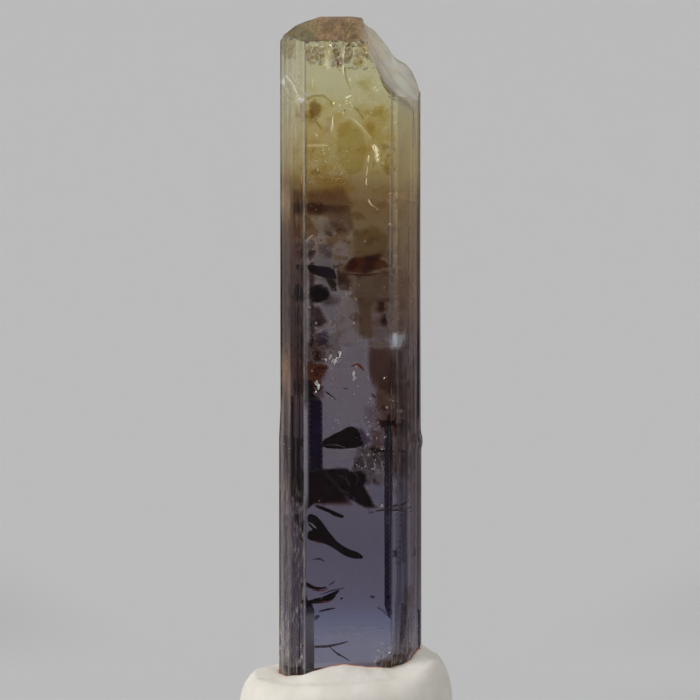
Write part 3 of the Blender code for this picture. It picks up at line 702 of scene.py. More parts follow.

# Stains, cracks and dark sheets inside the crystal, the darkest partly painted shade: colour, depth, lean sideways
# and upwards, softness of the edge in millimetres, and the outline in pixels of the photograph.
STAINS_AND_SHADE = (
    (TEA, 0.4, 0.1, 0.1, 0.4, ((303, 188), (345, 186), (358, 204), (344, 220), (322, 216), (303, 224))),
    (TEA, -0.6, 0.1, 0.2, 0.12, ((306, 200), (323, 202), (330, 211), (322, 217), (306, 214))),
    (FAWN, -0.2, 0.1, 0.2, 0.10, ((303, 214), (311, 216), (315, 226), (322, 232), (318, 238), (303, 240))),
    (FAWN, 0.2, 0.1, 0.2, 0.10, ((334, 229), (346, 226), (352, 234), (346, 240), (336, 238))),
    (FAWN, -0.7, 0.1, 0.3, 0.06, ((322, 238), (334, 233), (351, 240), (352, 247), (340, 243), (332, 250))),
    (LICHEN, -0.4, 0.1, 0.2, 0.06, ((328, 252), (338, 254), (349, 256), (350, 262), (336, 262))),
    ((0.88, 0.82, 0.66), -0.8, 0.1, 0.2, 0.35, ((352, 84), (366, 74), (377, 80), (374, 92), (386, 108), (368, 102))),
    ((0.74, 0.68, 0.62), -0.9, 0.1, 0.2, 0.1, ((326, 334), (340, 332), (342, 350), (334, 364), (326, 362))),
    ((0.74, 0.66, 0.68), -0.9, 0.1, 0.2, 0.1, ((362, 404), (376, 404), (378, 424), (364, 426))),
    (DUSK, -1.0, 0.1, 0.6, 0.03, ((312, 239), (322, 239), (329, 243), (318, 242))),
    (PLUM, -0.9, 0.1, 0.5, 0.04, ((307, 250), (318, 250), (316, 257), (311, 262), (308, 260))),
    (SMOKE, -0.3, 0.1, 0.2, 0.04, ((318, 242), (332, 244), (333, 256), (318, 254))),
    ((0.42, 0.17, 0.06), -1.3, 0.15, 0.9, 0.12, ((340, 271), (346, 263), (352, 257), (366, 255), (379, 257), (389, 262),
     (392, 268), (382, 271), (366, 273), (350, 275))),
    (BARK, -1.2, 0.0, 0.8, 0.05, ((362, 255), (379, 253), (381, 262), (366, 263))),
    (RUST, -1.2, 0.0, 0.8, 0.06, ((348, 260), (357, 256), (360, 268), (352, 272), (344, 270))),
    (FAWN, -0.5, 0.1, 0.2, 0.15, ((336, 262), (350, 260), (352, 276), (347, 286), (336, 284))),
    (BARK, -0.6, 0.1, 0.4, 0.04, ((344, 281), (350, 279), (349, 285), (344, 285))),
    ((0.78, 0.70, 0.50), 0.8, 0.1, 0.1, 0.35, ((350, 196), (372, 198), (400, 202), (396, 300), (378, 312),
     (352, 306), (342, 280), (349, 264), (340, 247), (350, 232), (343, 214))),
    (ETCH, -1.3, 0.1, 0.2, 0.16, ((308, 104), (315, 100), (323, 106), (322, 117), (316, 125), (309, 121))),
    (LICHEN, -0.9, 0.1, 0.1, 0.3, ((352, 230), (374, 224), (392, 236), (388, 262), (352, 262))),
    (CLAY, -0.3, 0.1, 0.1, 0.25, ((352, 270), (396, 268), (402, 286), (396, 304), (356, 302))),
    (CLAY, 0.3, 0.1, 0.1, 0.2, ((354, 296), (398, 298), (400, 332), (382, 342), (358, 336))),
    (OLIVE, -0.7, 0.1, 0.1, 0.1, ((358, 302), (372, 300), (374, 340), (360, 340))),
    (BARK, 0.5, 0.1, 0.3, 0.05, ((376, 301), (384, 300), (386, 310), (378, 316))),
    (PLUM, -0.2, 0.1, 0.3, 0.04, ((379, 315), (387, 312), (389, 327), (381, 328))),
    (INK, -0.9, 0.2, 0.9, 0.0, ((305, 264), (318, 266), (334, 268), (338, 280), (330, 279), (318, 276),
     (309, 272))),
    (WINE, -0.6, 0.2, 0.9, 0.02, ((306, 265), (320, 267), (320, 277), (310, 273))),
    ((0.06, 0.05, 0.02), 0.3, 0.0, 0.4, 0.02, ((324, 276), (337, 276), (338, 292), (331, 292), (327, 284))),
    ((0.42, 0.32, 0.24), -0.5, 0.1, 0.3, 0.06, ((336, 268), (346, 272), (353, 281), (350, 292), (337, 291))),
    ((0.45, 0.34, 0.29), -0.8, 0.1, 0.3, 0.08, ((303, 344), (312, 339), (322, 337), (332, 342), (327, 352),
     (331, 363), (303, 363))),
    ((0.50, 0.36, 0.36), -0.9, 0.1, 0.2, 0.04, ((314, 383), (325, 385), (325, 399), (314, 399))),
    ((0.52, 0.42, 0.38), 0.2, 0.1, 0.1, 0.2, ((303, 203), (351, 204), (356, 232), (338, 236), (324, 218),
     (303, 217))),
    ((0.54, 0.45, 0.44), -0.7, 0.1, 0.2, 0.06, ((303, 242), (316, 243), (312, 258), (303, 260))),
    ((0.45, 0.39, 0.34), -0.6, 0.1, 0.2, 0.12, ((356, 445), (377, 443), (378, 484), (366, 487), (350, 471),
     (354, 459))),
    (BLACK, 0.1, 0.2, 0.5, 0.02, ((310, 288), (317, 282.5), (326, 284), (333, 294), (325, 304), (313, 304),
     (309, 297))),
    (PLUM, -2.0, 0.0, 0.2, 0.08, ((308.5, 262), (315, 262), (316, 300), (315, 348), (308.5, 348))),
    (SMOKE, -0.5, 0.1, 0.3, 0.04, ((309, 277), (316, 278), (313, 300), (309, 305))),
    (PLUM, 0.4, 0.1, 0.3, 0.04, ((312, 306), (320, 305), (326, 314), (329, 321), (322, 327), (313, 327))),
    (BARK, -0.9, 0.1, 0.2, 0.02, ((313, 306), (316, 307), (315, 325), (313, 326))),
    (FAWN, -0.4, 0.1, 0.2, 0.05, ((311, 326), (318, 328), (316, 350), (311, 350))),
    (NIGHT, 0.2, 0.3, 0.2, 0.05, ((321, 331), (326, 329), (331, 333), (330, 345), (320, 346))),
    (DUSK, 0.0, 0.3, 0.2, 0.05, ((314, 333), (324, 331), (325, 345), (315, 349))),
    (BARK, -0.3, 0.1, 0.3, 0.06, ((313, 349), (321, 348), (323, 362), (313, 364))),
    (RUST, -1.0, 0.2, 0.2, 0.10, ((303, 358), (314, 361), (330, 364), (328, 374), (322, 380), (323, 392),
     (310, 396), (303, 395))),
    (RUST, -0.2, 0.2, 0.2, 0.06, ((316, 365), (329, 364), (326, 371), (317, 370))),
    (WINE, -0.6, 0.1, 0.3, 0.08, ((303, 378), (312, 380), (318, 390), (310, 396), (303, 396))),
    (CLAY, -0.4, -0.1, 0.2, 0.12, ((367, 338), (391, 340), (398, 350), (397, 380), (371, 386), (366, 362))),
    ((0.46, 0.32, 0.25), -1.45, 0.0, 0.1, 0.2, ((368, 344), (378, 349), (390, 343), (399, 352), (397, 372), (400, 392),
     (388, 398), (378, 386), (374, 392), (367, 372))),
    (CLAY, -0.9, -0.1, 0.2, 0.12, ((378, 380), (411, 352), (412, 430), (374, 428), (374, 396))),
    (FAWN, 0.4, 0.2, 0.1, 0.2, ((373, 384), (392, 380), (410, 394), (406, 420), (386, 424), (375, 408))),
    (PLUM, 0.2, 0.0, 0.1, 0.04, ((393, 358), (397, 358), (398, 368), (393, 369))),
    (PLUM, 0.2, 0.0, 0.1, 0.04, ((395, 392), (399, 393), (399, 409), (395, 409))),
    (RUST, -1.5, 0.1, 1.0, 0.07, ((371, 416), (384, 418), (400, 419), (412, 424), (409, 428), (380, 427))),
    (UMBER, -0.9, 0.1, 0.9, 0.07, ((378, 420), (398, 418), (412, 430), (404, 440), (380, 432))),
    (BLACK, 0.6, 0.1, 0.9, 0.0, ((321, 441), (335, 434), (345, 428.5), (352, 426.5), (358, 430), (361, 437),
     (365, 447), (345, 449), (322, 448))),
    (DUSK, 0.5, 0.1, 0.5, 0.05, ((346, 426), (362, 427), (372, 440), (368, 449), (352, 446))),
    (INK, 0.5, 0.1, 0.2, 0.03, ((307, 436), (324, 439), (323, 449), (321, 456), (320, 472), (307, 472))),
    (WINE, 0.0, 0.15, 0.3, 0.03, ((304, 468), (320, 467), (334, 469), (336, 504), (304, 503))),
    (WINE, -0.7, 0.15, 0.3, 0.08, ((304, 478), (318, 474), (338, 490), (346, 503), (304, 504))),
    (BLACK, 0.1, 0.1, 0.4, 0.05, ((321, 468), (328, 470), (337, 466), (346, 467), (352, 471), (363, 469),
     (369, 478), (366, 486), (370, 494), (376, 505), (366, 507), (352, 502), (338, 503), (326, 499),
     (331, 490), (322, 482))),
    (WINE, -0.2, 0.1, 0.5, 0.04, ((352, 498), (368, 500), (381, 508), (366, 509), (355, 504))),
    (CLAY, -0.6, 0.1, 0.1, 0.1, ((372, 430), (412, 432), (412, 470), (390, 476), (370, 458))),
    (SMOKE, -1.2, 0.1, 0.1, 0.1, ((368, 446), (386, 450), (386, 470), (372, 470))),
    (SMOKE, 0.4, 0.0, 0.2, 0.08, ((352, 456), (364, 455), (364, 469), (353, 469))),
    (DUSK, -1.9, 0.0, 0.2, 0.03, ((395.5, 505), (399.5, 505), (399.5, 566), (395.5, 568))),
    (SMOKE, -1.9, 0.0, 0.2, 0.03, ((399, 508), (406, 508), (406, 562), (399, 566))),
    (DUSK, -1.7, 0.0, 0.2, 0.03, ((396, 432), (399, 432), (399.5, 500), (396, 500))),
    (BLACK, -1.6, 0.0, 0.6, 0.0, ((314, 504.5), (322, 505.5), (332, 510), (345, 515.5), (343, 518),
     (336, 516.5), (326, 511), (316, 507))),
    (BLACK, -0.9, 0.2, 0.7, 0.0, ((307, 514), (315, 514.5), (323, 523), (331, 535), (340, 544), (351, 550),
     (359, 552), (365, 558.5), (352, 558.5), (342, 554), (332, 547), (322, 541.5), (307, 540), (308, 531),
     (314, 530), (307, 524))),
    (BLACK, -1.7, 0.1, 0.4, 0.0, ((306, 581), (310, 583.5), (315, 586), (321, 587), (328, 586), (326, 588.5),
     (318, 589.5), (311, 588.5), (306, 586))),
    (BLACK, -1.5, 0.1, 0.6, 0.0, ((306, 601), (313, 599), (324, 596), (335, 591), (341, 589), (336, 595),
     (333, 599.5), (327, 600), (318, 603), (307, 604.5))),
    (DUSK, 0.3, 0.0, 0.2, 0.1, ((391, 549), (400, 549), (400, 559), (391, 558))),
    (CLAY, -1.4, 0.0, 0.2, 0.2, ((394, 592), (400, 576), (404, 590), (412, 574), (413, 650), (400, 664),
     (386, 668), (392, 640))),
    ((0.62, 0.54, 0.64), -2.1, 0.0, 0.1, 0.05, ((310, 606), (315.5, 608), (315.5, 662), (311, 664))),
    (DUSK, -1.9, 0.0, 0.2, 0.03, ((396, 600), (399.5, 600), (399.5, 648), (396, 650))),
    (DUSK, -1.8, 0.0, 0.2, 0.06, ((397, 612), (400, 592), (402, 608), (405.5, 588), (406, 634), (400, 652), (396.5, 640))),
    (BARK, -1.9, 0.0, 0.2, 0.05, ((376, 660), (388, 655), (398, 652), (404, 655), (411, 644), (412, 652),
     (402, 668), (376, 668))),
    (BARK, -1.3, 0.0, 0.2, 0.05, ((388, 660), (400, 654), (406, 656), (400, 668), (388, 668))),
    (BARK, -1.6, 0.0, 0.2, 0.04, ((400, 616), (404, 612), (405, 626), (401, 630))),
)

# Large patchy sheets of stain: colour, depth, leans, softness, how closed they are, outline.
SHEETS = (
    (CLAY, 0.9, 0.2, 0.1, 0.35, -0.2, ((346, 252), (394, 248), (394, 345), (350, 345))),
    (CLAY, -1.8, 0.1, 0.1, 0.2, -0.1, ((303, 206), (348, 204), (346, 350), (304, 350))),
    (SMOKE, -0.2, 0.1, 0.1, 0.2, -0.2, ((304, 240), (344, 240), (340, 352), (304, 352))),
    (CLAY, 0.0, 0.1, 0.1, 0.2, 0.2, ((368, 408), (412, 400), (412, 510), (370, 506))),
    (SMOKE, -1.4, 0.1, 0.1, 0.2, 0.0, ((366, 424), (412, 424), (412, 512), (368, 510))),
    (HONEY, -1.2, 0.1, 0.1, 0.3, 0.1, ((303, 96), (412, 112), (412, 205), (303, 205))),
    (HONEY, 0.6, 0.1, 0.1, 0.3, -0.1, ((303, 80), (398, 100), (412, 120), (412, 200), (303, 200))),
    ((0.94, 0.90, 0.78), -0.6, 0.1, 0.1, 0.1, -0.2, ((300, 98), (334, 97), (336, 126), (300, 128))),
    ((0.84, 0.78, 0.52), -0.4, 0.1, 0.1, 0.12, 1.5, ((338, 124), (352, 119), (364, 130), (368, 150), (364, 172),
     (350, 178), (338, 166), (335, 144))),
    (LICHEN, -1.9, 0.1, 0.1, 0.08, -0.1, ((308, 41), (366, 41), (364, 70), (330, 72), (310, 66))),
    ((0.82, 0.78, 0.54), 0.4, 0.1, 0.1, 0.3, 0.1, ((350, 80), (378, 82), (392, 102), (396, 134), (372, 142), (352, 116))),
    (BARK, -1.5, 0.1, 0.7, 0.05, -0.1, ((334, 262), (350, 253), (386, 251), (400, 262), (394, 275), (350, 282))),
)

# Thin cracks: colour, depth, width in pixels, points in pixels of the photograph.
CRACKS = (
    ((0.40, 0.33, 0.24), -2.2, 3.6, ((380, 79), (384, 88), (391, 96), (400, 101), (407, 106), (414, 113))),
    ((0.55, 0.47, 0.36), -2.2, 3.0, ((388, 98), (398, 104), (408, 109), (413, 114))),
    ((0.55, 0.44, 0.30), -2.0, 1.8, ((412.5, 112), (413, 130), (413, 152))),
    ((0.76, 0.68, 0.48), -1.8, 2.6, ((303, 112), (306, 102), (314, 97.5), (324, 98), (331, 103), (333, 110))),
    ((0.60, 0.20, 0.10), -1.0, 1.8, ((308, 538), (316, 541.5), (326, 543.5))),
    ((0.60, 0.20, 0.14), -1.9, 1.4, ((312, 589.5), (322, 590.5), (330, 588))),
    ((0.60, 0.20, 0.14), -1.7, 1.6, ((318, 603), (330, 600.5), (336, 596))),
    ((0.76, 0.66, 0.46), -1.6, 3.0, ((308, 122), (317, 124), (322, 131))),
    ((0.74, 0.66, 0.48), -1.8, 1.6, ((345, 68), (346, 80), (351, 92))),
    ((0.60, 0.50, 0.34), -1.8, 2.0, ((356, 44), (364, 52), (367, 62))),
    ((0.76, 0.68, 0.50), -1.6, 1.8, ((352, 108), (358, 112), (364, 122))),
    ((0.60, 0.50, 0.34), -1.4, 2.4, ((390, 146), (396, 152), (397, 166), (393, 172))),
    (BLACK, -1.9, 1.6, ((325, 391), (331, 395), (336, 400))),
    (DUSK, -1.8, 1.8, ((329, 585), (336, 580))),
    (DUSK, -1.7, 1.6, ((320, 594.5), (331, 590.5), (344, 587.5))),
    (INK, -1.9, 2.0, ((319, 611), (325, 609.5), (336, 607.5))),
    (DUSK, -1.9, 4.0, ((312, 617.5), (315, 617.5), (320, 615))),
    (PLUM, -1.8, 2.6, ((298, 645), (315, 646.5), (328, 646), (340, 643.5), (348, 641))),
    (PLUM, -1.8, 1.6, ((329, 646), (337, 653), (350, 660.5))),
    (INK, 0.2, 2.4, ((368, 448), (380, 450.5), (396, 452))),
    (DUSK, 0.9, 2.0, ((371, 393), (376, 398))),
    ((0.75, 0.20, 0.08), -1.6, 2.6, ((351, 366.5), (356, 364), (361, 366.5), (364, 371))),
    ((0.62, 0.40, 0.20), -1.2, 2.2, ((352, 500), (362, 503), (374, 507))),
    (RUST, -1.4, 2.0, ((345, 274), (365, 276), (380, 274))),
    (UMBER, -1.7, 2.4, ((375, 511), (385, 509), (398, 510), (409, 508))),
    (PLUM, -1.6, 2.0, ((387, 508), (396, 505), (406, 502))),
    (DUSK, -1.2, 1.8, ((343, 387.5), (348, 389))),
    (DUSK, -1.9, 2.0, ((313, 559), (320, 558), (325, 561))),
    (DUSK, -1.2, 3.0, ((370, 596.5), (375, 597))),
    (DUSK, -1.4, 2.6, ((340, 598), (343, 598))),
    (SMOKE, -1.8, 3.0, ((377, 607), (384, 611), (391, 618))),
)


# Healed cracks that shine, and two violet sheets of painted shade: colour, share of the light they mirror, depth,
# softness, outline.
VEILS_AND_SHADE_BANDS = (
    (WHITE, 0.50, -1.9, 0.0, ((336, 358.5), (339, 351), (341.5, 352), (339.5, 357.5))),
    (WHITE, 0.42, -1.9, 0.0, ((333, 363), (335.5, 358.5), (337.5, 360), (335, 365))),
    (WHITE, 0.28, -1.9, 0.0, ((338, 362), (340, 357.5), (342, 358.5), (339, 363))),
    (WHITE, 0.30, -1.9, 0.0, ((328.5, 358), (331, 354), (332.5, 355.5), (330, 360))),
    (WHITE, 0.22, -1.9, 0.0, ((331, 362), (333.5, 357.5), (334.5, 359.5), (332, 363))),
    (WHITE, 0.20, -1.9, 0.0, ((324, 359), (327, 358), (327, 362))),
    (WHITE, 0.60, -2.0, 0.0, ((315, 383), (317, 379.5), (318.5, 381), (316.5, 386))),
    ((0.80, 1.0, 0.85), 0.55, -2.0, 0.0, ((317, 389), (318, 383), (320.5, 384.5), (319, 390))),
    (STRAW, 0.50, -2.0, 0.0, ((396.5, 409.5), (402, 409), (401, 413), (397, 413))),
    (WHITE, 0.45, -2.0, 0.0, ((396, 419), (400, 420), (399, 424), (396.5, 423))),
    (WHITE, 0.30, -1.9, 0.0, ((352, 374.5), (354, 370), (355.5, 373), (353.5, 377))),
    (WHITE, 0.20, -1.9, 0.0, ((352.5, 380), (354, 376), (356, 378), (354, 381))),
    (WHITE, 0.10, -2.1, 0.12, ((283, 82), (289, 79), (297, 86), (305, 94), (309, 104), (300, 106), (288, 96))),
    (WHITE, 0.12, -2.2, 0.04, ((325.5, 50), (331, 48), (332, 72), (326.5, 72))),
    (WHITE, 0.05, -2.2, 0.06, ((297, 43), (309, 41), (305, 52), (298, 60), (296, 52))),
    (WHITE, 0.04, -2.2, 0.06, ((304, 42), (330, 42), (328, 50), (306, 52))),
    (WHITE, 0.028, -1.3, 0.35, ((302, 108), (318, 101), (334, 112), (330, 148), (302, 147))),
    (LILAC, 0.035, -1.6, 0.06, ((324, 120), (334, 118), (333, 130), (331, 146), (324, 144))),
    (WHITE, 0.025, -1.0, 0.10, ((295, 141), (322, 140), (330, 146), (295, 147))),
    (WHITE, 0.05, -1.4, 0.10, ((392, 112), (412, 112), (411, 118), (396, 118), (387, 124))),
    (WHITE, 0.34, -1.9, 0.03, ((370, 143), (374, 143), (380, 152), (380, 166), (377, 167), (373, 155))),
    (LILAC, 0.05, -1.6, 0.05, ((371, 150), (375, 154), (374, 168), (371, 168))),
    (STRAW, 0.15, -1.9, 0.08, ((390, 195), (400, 192), (416, 196), (417, 203), (405, 201), (394, 199))),
    (LILAC, 0.03, -1.9, 0.10, ((335, 190), (340, 188), (340, 198), (335, 197))),
    (WHITE, 0.04, -1.9, 0.10, ((346, 118), (352, 118), (372, 139), (370, 143), (360, 133))),
    (ICE, 0.010, -1.0, 0.08, ((311, 219), (322, 217), (334, 220), (341, 226), (334, 234), (322, 238),
     (318, 230), (312, 227))),
    (LILAC, 0.022, -0.8, 0.03, ((332, 250), (341, 244), (346, 243), (348, 250), (344, 255), (338, 254))),
    (ICE, 0.075, -0.8, 0.03, ((311, 263), (316, 257), (323, 254), (330, 259), (333, 268), (322, 266))),
    (ICE, 0.026, -0.5, 0.02, ((320, 304), (332, 300), (337, 316), (332, 321), (325, 313))),
    (WHITE, 0.010, -1.0, 0.10, ((342, 302), (352, 298), (359, 316), (358, 345), (346, 348), (336, 332),
     (336, 318))),
    (LILAC, 0.008, -1.0, 0.06, ((349, 351), (360, 348), (366, 353), (362, 362), (350, 362))),
    (ICE, 0.18, -1.7, 0.05, ((390, 333), (400, 332), (403, 340), (410, 346), (396, 347), (389, 343))),
    (ICE, 0.014, -1.4, 0.04, ((376, 328), (385, 328), (386, 343), (376, 342))),
    (WHITE, 0.02, -1.8, 0.05, ((398, 309), (405, 309), (405, 313), (398, 313))),
    (LILAC, 0.006, -1.2, 0.15, ((362, 428), (384, 427), (384, 446), (366, 447))),
    (WHITE, 0.018, -1.5, 0.08, ((322, 450), (352, 449), (362, 452), (352, 460), (324, 458))),
    (ICE, 0.006, -1.5, 0.08, ((368, 476), (384, 472), (385, 500), (372, 500))),
    (WHITE, 0.02, -1.8, 0.25, ((372, 650), (380, 642), (386, 646), (394, 640), (398, 650), (392, 657), (380, 660))),
    (WINE, 0.06, -2.0, 0.3, ((303, 466), (326, 470), (344, 490), (356, 506), (303, 506))),
    (VIOLET, 0.13, -2.2, 0.03, ((385, 425), (390, 425), (390, 520), (391, 606), (388, 612), (385, 600))),
    (VIOLET, 0.10, -2.2, 0.04, ((308, 397), (323, 397), (323, 432), (323, 470), (308, 472))),
    ((0.95, 0.80, 1.0), 0.022, -2.2, 0.03, ((305, 612), (309, 606), (314, 608), (315, 662), (305, 664))),
)
# Bright thin lines: share of the light they mirror, width and points in pixels.
SCRATCHES = (
    (0.14, 1.6, ((290, 249), (296, 250.5), (303, 247.5), (306, 242), (310, 238), (314, 235.5))),
    (0.30, 1.4, ((366.8, 187), (366.0, 184), (366.6, 179))),
    (0.20, 1.1, ((366.0, 177), (367.2, 172), (367.2, 167))),
    (0.26, 1.3, ((368.4, 164), (367.8, 161), (369.0, 156))),
    (0.22, 1.2, ((368, 200), (370.5, 205.5), (374, 207.5))),
    (0.16, 0.9, ((374.5, 207), (377, 210), (378, 212))),
    (0.10, 1.4, ((391, 266), (398, 267), (405, 271))),
    (0.12, 1.6, ((350, 119), (358, 125), (364, 132), (371, 140))),
    (0.30, 1.8, ((347, 43), (344, 52), (342.5, 64), (344, 77))),
    (0.20, 1.5, ((326, 52), (327, 60), (328, 70))),
    (0.20, 1.4, ((333, 118), (333, 126), (331, 133))),
    (0.10, 1.8, ((296, 155), (299, 160), (301, 172), (303, 186))),
    (0.12, 1.6, ((303, 186), (302.7, 200), (302.7, 214), (303, 232))),
    (0.12, 1.8, ((295, 147), (310, 147), (330, 147))),
    (0.10, 1.4, ((313, 80), (313, 90))),
    (0.10, 1.2, ((288, 513), (292, 519), (295, 523))),
    (0.10, 1.2, ((304, 508), (306, 513), (305, 520))),
    (0.03, 1.4, ((316, 627), (350, 626.5), (386, 628))),
    (0.02, 1.4, ((316, 634), (350, 633.5), (386, 635))),
    (0.12, 1.4, ((308, 521), (312, 524), (317, 528))),
    (0.05, 1.2, ((322, 444.5), (334, 444), (345, 447))),
    (0.03, 1.2, ((338, 474), (346, 478), (350, 486))),
    (0.03, 1.2, ((352, 471), (358, 476), (357, 485))),
    (0.02, 1.2, ((330, 484), (344, 490), (356, 499))),
    (0.06, 1.3, ((368, 452), (374, 462), (376, 476))),
    (0.06, 1.3, ((372, 450), (381, 460), (384, 474), (380, 486))),
    (0.04, 1.2, ((366, 470), (372, 480), (371, 494))),
    (0.06, 1.3, ((358, 449), (364, 455), (366, 466))),
    (0.08, 1.0, ((398, 505), (404, 501), (411, 498))),
    (0.08, 1.0, ((393, 512), (402, 509), (411, 511))),
    (0.06, 1.2, ((305, 240), (305, 262), (305, 290))),
    (0.05, 1.2, ((305.5, 300), (305.5, 330), (305.5, 356))),
)
# Small bright facets: pixel place, size in pixels.
GLINTS = (
    (286, 83, 2.2), (290, 88, 2.0), (296, 90, 2.2), (300, 94, 1.6), (322, 106, 2.6),
    (325, 107, 1.8), (345, 112, 2.2), (378, 158, 2.6), (378, 154, 1.8),
    (379, 165, 1.6), (374, 150, 1.6), (414, 197, 2.0), (409, 131, 1.6),
    (403, 194, 1.6), (389, 225, 1.8), (389, 228, 1.6), (388, 250, 1.6), (394, 250, 1.8), (365, 242, 1.2),
    (353, 318, 2.0), (354, 323, 1.4), (345, 341, 1.6), (310, 308, 1.6), (317, 383, 4.0), (318, 388, 2.6),
    (338, 356, 4.2), (335, 361, 3.6), (340, 352, 2.8), (334, 365, 2.0), (332, 369, 1.6), (290, 407, 1.8), (399, 411, 3.0),
    (398, 421, 2.6), (384, 378, 1.8), (356, 366, 2.0), (390, 400, 1.4), (418, 395, 2.0), (346, 402, 1.6),
    (370, 440, 2.0), (366, 445, 1.8), (372, 444, 1.4), (377, 469, 1.4), (397, 493, 1.4), (409, 507, 2.0),
    (409, 512, 1.6), (322, 598, 1.0), (295, 603, 1.8), (296, 608, 1.4), (378, 650, 2.4), (385, 652, 2.6), (381, 656, 1.8), (391, 650, 1.6),
    (388, 648, 1.2), (414, 643, 1.6), (400, 626, 1.6), (404, 612, 1.2), (308, 578, 1.2),
    (408, 77, 1.2), (320, 500, 1.2), (389, 518, 1.2), (298, 417, 1.2),
    (418, 549, 1.6), (297, 554, 1.8), (283, 545, 1.8), (283, 560, 2.0),
)
# Loose fragments: first and last x, first and last y in pixels, how many, sizes, colours to pick from.
CLOUDS = (
    (306, 350, 200, 350, 50, (2, 9), (PLUM, CLAY, SMOKE, SMOKE, FAWN, BARK, DUSK)),
    (350, 410, 200, 345, 55, (2, 12), (OLIVE, CLAY, LICHEN, SMOKE, FAWN)),
    (306, 330, 345, 400, 16, (2, 8), (UMBER, RUST, PLUM, SMOKE)),
    (372, 410, 345, 425, 40, (2, 8), (CLAY, SMOKE, RUST, PLUM, SMOKE)),
    (366, 410, 425, 512, 40, (2, 9), (SMOKE, PLUM, CLAY, SMOKE)),
    (300, 412, 100, 200, 70, (3, 12), (HONEY, LICHEN, (0.9, 0.8, 0.55))),
    (304, 366, 41, 74, 40, (1.5, 4), (LICHEN, (0.7, 0.6, 0.42), (0.85, 0.76, 0.6))),
    (346, 382, 40, 90, 40, (1.5, 5), (LICHEN, (0.85, 0.76, 0.6), FAWN)),
    (309, 325, 50, 67, 16, (1.4, 3.4), (ETCH, ETCH, SHADE)),
    (332, 342, 46, 71, 16, (1.4, 3.4), (ETCH, SHADE)),
    (298, 350, 150, 184, 60, (0.8, 2.2), (ETCH, LICHEN, OLIVE)),
    (378, 410, 648, 666, 46, (1, 3), (SHADE, BARK, FAWN)),
    (396, 406, 600, 650, 24, (1, 3), (INK, DUSK, SMOKE)),
    (303, 332, 97, 122, 26, (1.5, 4.5), (LICHEN, ETCH)),
    (300, 400, 520, 640, 16, (1, 3), (SMOKE, DUSK)),
)
# Small flecks that catch the light: the same, then the share of the light that they mirror.
FLECKS = (
    (282, 304, 78, 106, 40, (1.0, 3.4), 0.22),
    (304, 332, 41, 50, 20, (0.8, 2.6), 0.18),
    (325, 331, 48, 72, 16, (0.8, 2.6), 0.25),
    (342, 372, 42, 84, 40, (0.7, 2.2), 0.12),
    (298, 350, 150, 184, 170, (0.5, 1.6), 0.09),
    (298, 334, 116, 147, 44, (0.7, 2.2), 0.08),
    (330, 352, 98, 118, 18, (0.8, 2.2), 0.15),
    (380, 402, 143, 172, 36, (0.7, 2.0), 0.08),
    (388, 417, 193, 204, 24, (0.8, 2.4), 0.12),
    (366, 392, 70, 96, 20, (0.7, 2.0), 0.08),
    (370, 412, 30, 108, 30, (0.7, 2.0), 0.05),
    (305, 346, 204, 262, 40, (0.5, 1.6), 0.05),
    (330, 360, 285, 372, 56, (0.5, 1.8), 0.11),
    (308, 332, 320, 395, 34, (0.5, 1.7), 0.08),
    (384, 416, 225, 350, 36, (0.5, 1.6), 0.06),
    (388, 404, 332, 347, 20, (0.7, 2.2), 0.10),
    (372, 402, 96, 170, 50, (0.6, 1.8), 0.10),
    (338, 372, 96, 122, 30, (0.6, 1.8), 0.12),
    (330, 372, 372, 430, 46, (0.5, 1.7), 0.13),
    (356, 386, 428, 470, 70, (0.4, 1.6), 0.14),
    (372, 396, 400, 512, 44, (0.5, 1.6), 0.11),
    (372, 402, 642, 664, 60, (0.6, 1.8), 0.09),
    (396, 416, 600, 655, 44, (0.5, 1.6), 0.2),
    (280, 304, 480, 662, 70, (0.5, 1.8), 0.12),
    (280, 304, 200, 480, 40, (0.4, 1.4), 0.06),
)


def fleck_outlines(rng, x0, x1, y0, y1, count, sizes):
    """Small angular outlines at random places in a box of the photograph."""
    outlines = []
    for _ in range(count):
        px, py = rng.uniform(x0, x1), rng.uniform(y0, y1)
        size = rng.uniform(*sizes)
        turn = rng.uniform(0, 2 * math.pi)
        stretch = rng.uniform(0.35, 1.0)
        corners = int(rng.integers(3, 6))
        shape = []
        for k in range(corners):
            angle = 2 * math.pi * (k + rng.uniform(-0.3, 0.3)) / corners
            reach = size * rng.uniform(0.6, 1.0)
            a, b = reach * math.cos(angle), reach * stretch * math.sin(angle)
            shape.append((px + a * math.cos(turn) - b * math.sin(turn), py + a * math.sin(turn) + b * math.cos(turn)))
        outlines.append(np.array(shape))
    return outlines


# The lean of a plate inside the crystal that mirrors the left soft box towards the photograph's camera.
SHINE_LEAN = (-0.24, 0.183)


def scatter_flecks(plates):
    """Adds the small flecks and returns the share of light that each of their two skins mirrors."""
    rng = np.random.default_rng(37)
    strengths = []
    number = 500
    for x0, x1, y0, y1, count, sizes, shine in FLECKS:
        for shape in fleck_outlines(rng, x0, x1, y0, y1, count, sizes):
            across = (shape[:, 0] - PHOTO_MID_X) / PX_PER_MM
            depth = float(along(INSIDE_FRONT, across).max()) + rng.uniform(0.06, 0.5)
            strength = shine * rng.uniform(0.2, 1.6)
            z = seen_at(shape[:, 0], shape[:, 1], depth)[1]
            room = top_height(across, np.full(len(across), depth)) - 0.12
            if (np.abs(across) > 3.36).any() or (z > room).any():
                continue
            plates.add(shape, WHITE, depth, SHINE_LEAN, 0.0, 0.02, passes=0, thick=0.01, seed=number)
            strengths += [min(0.8, strength)] * 2
            number += 1
    return strengths


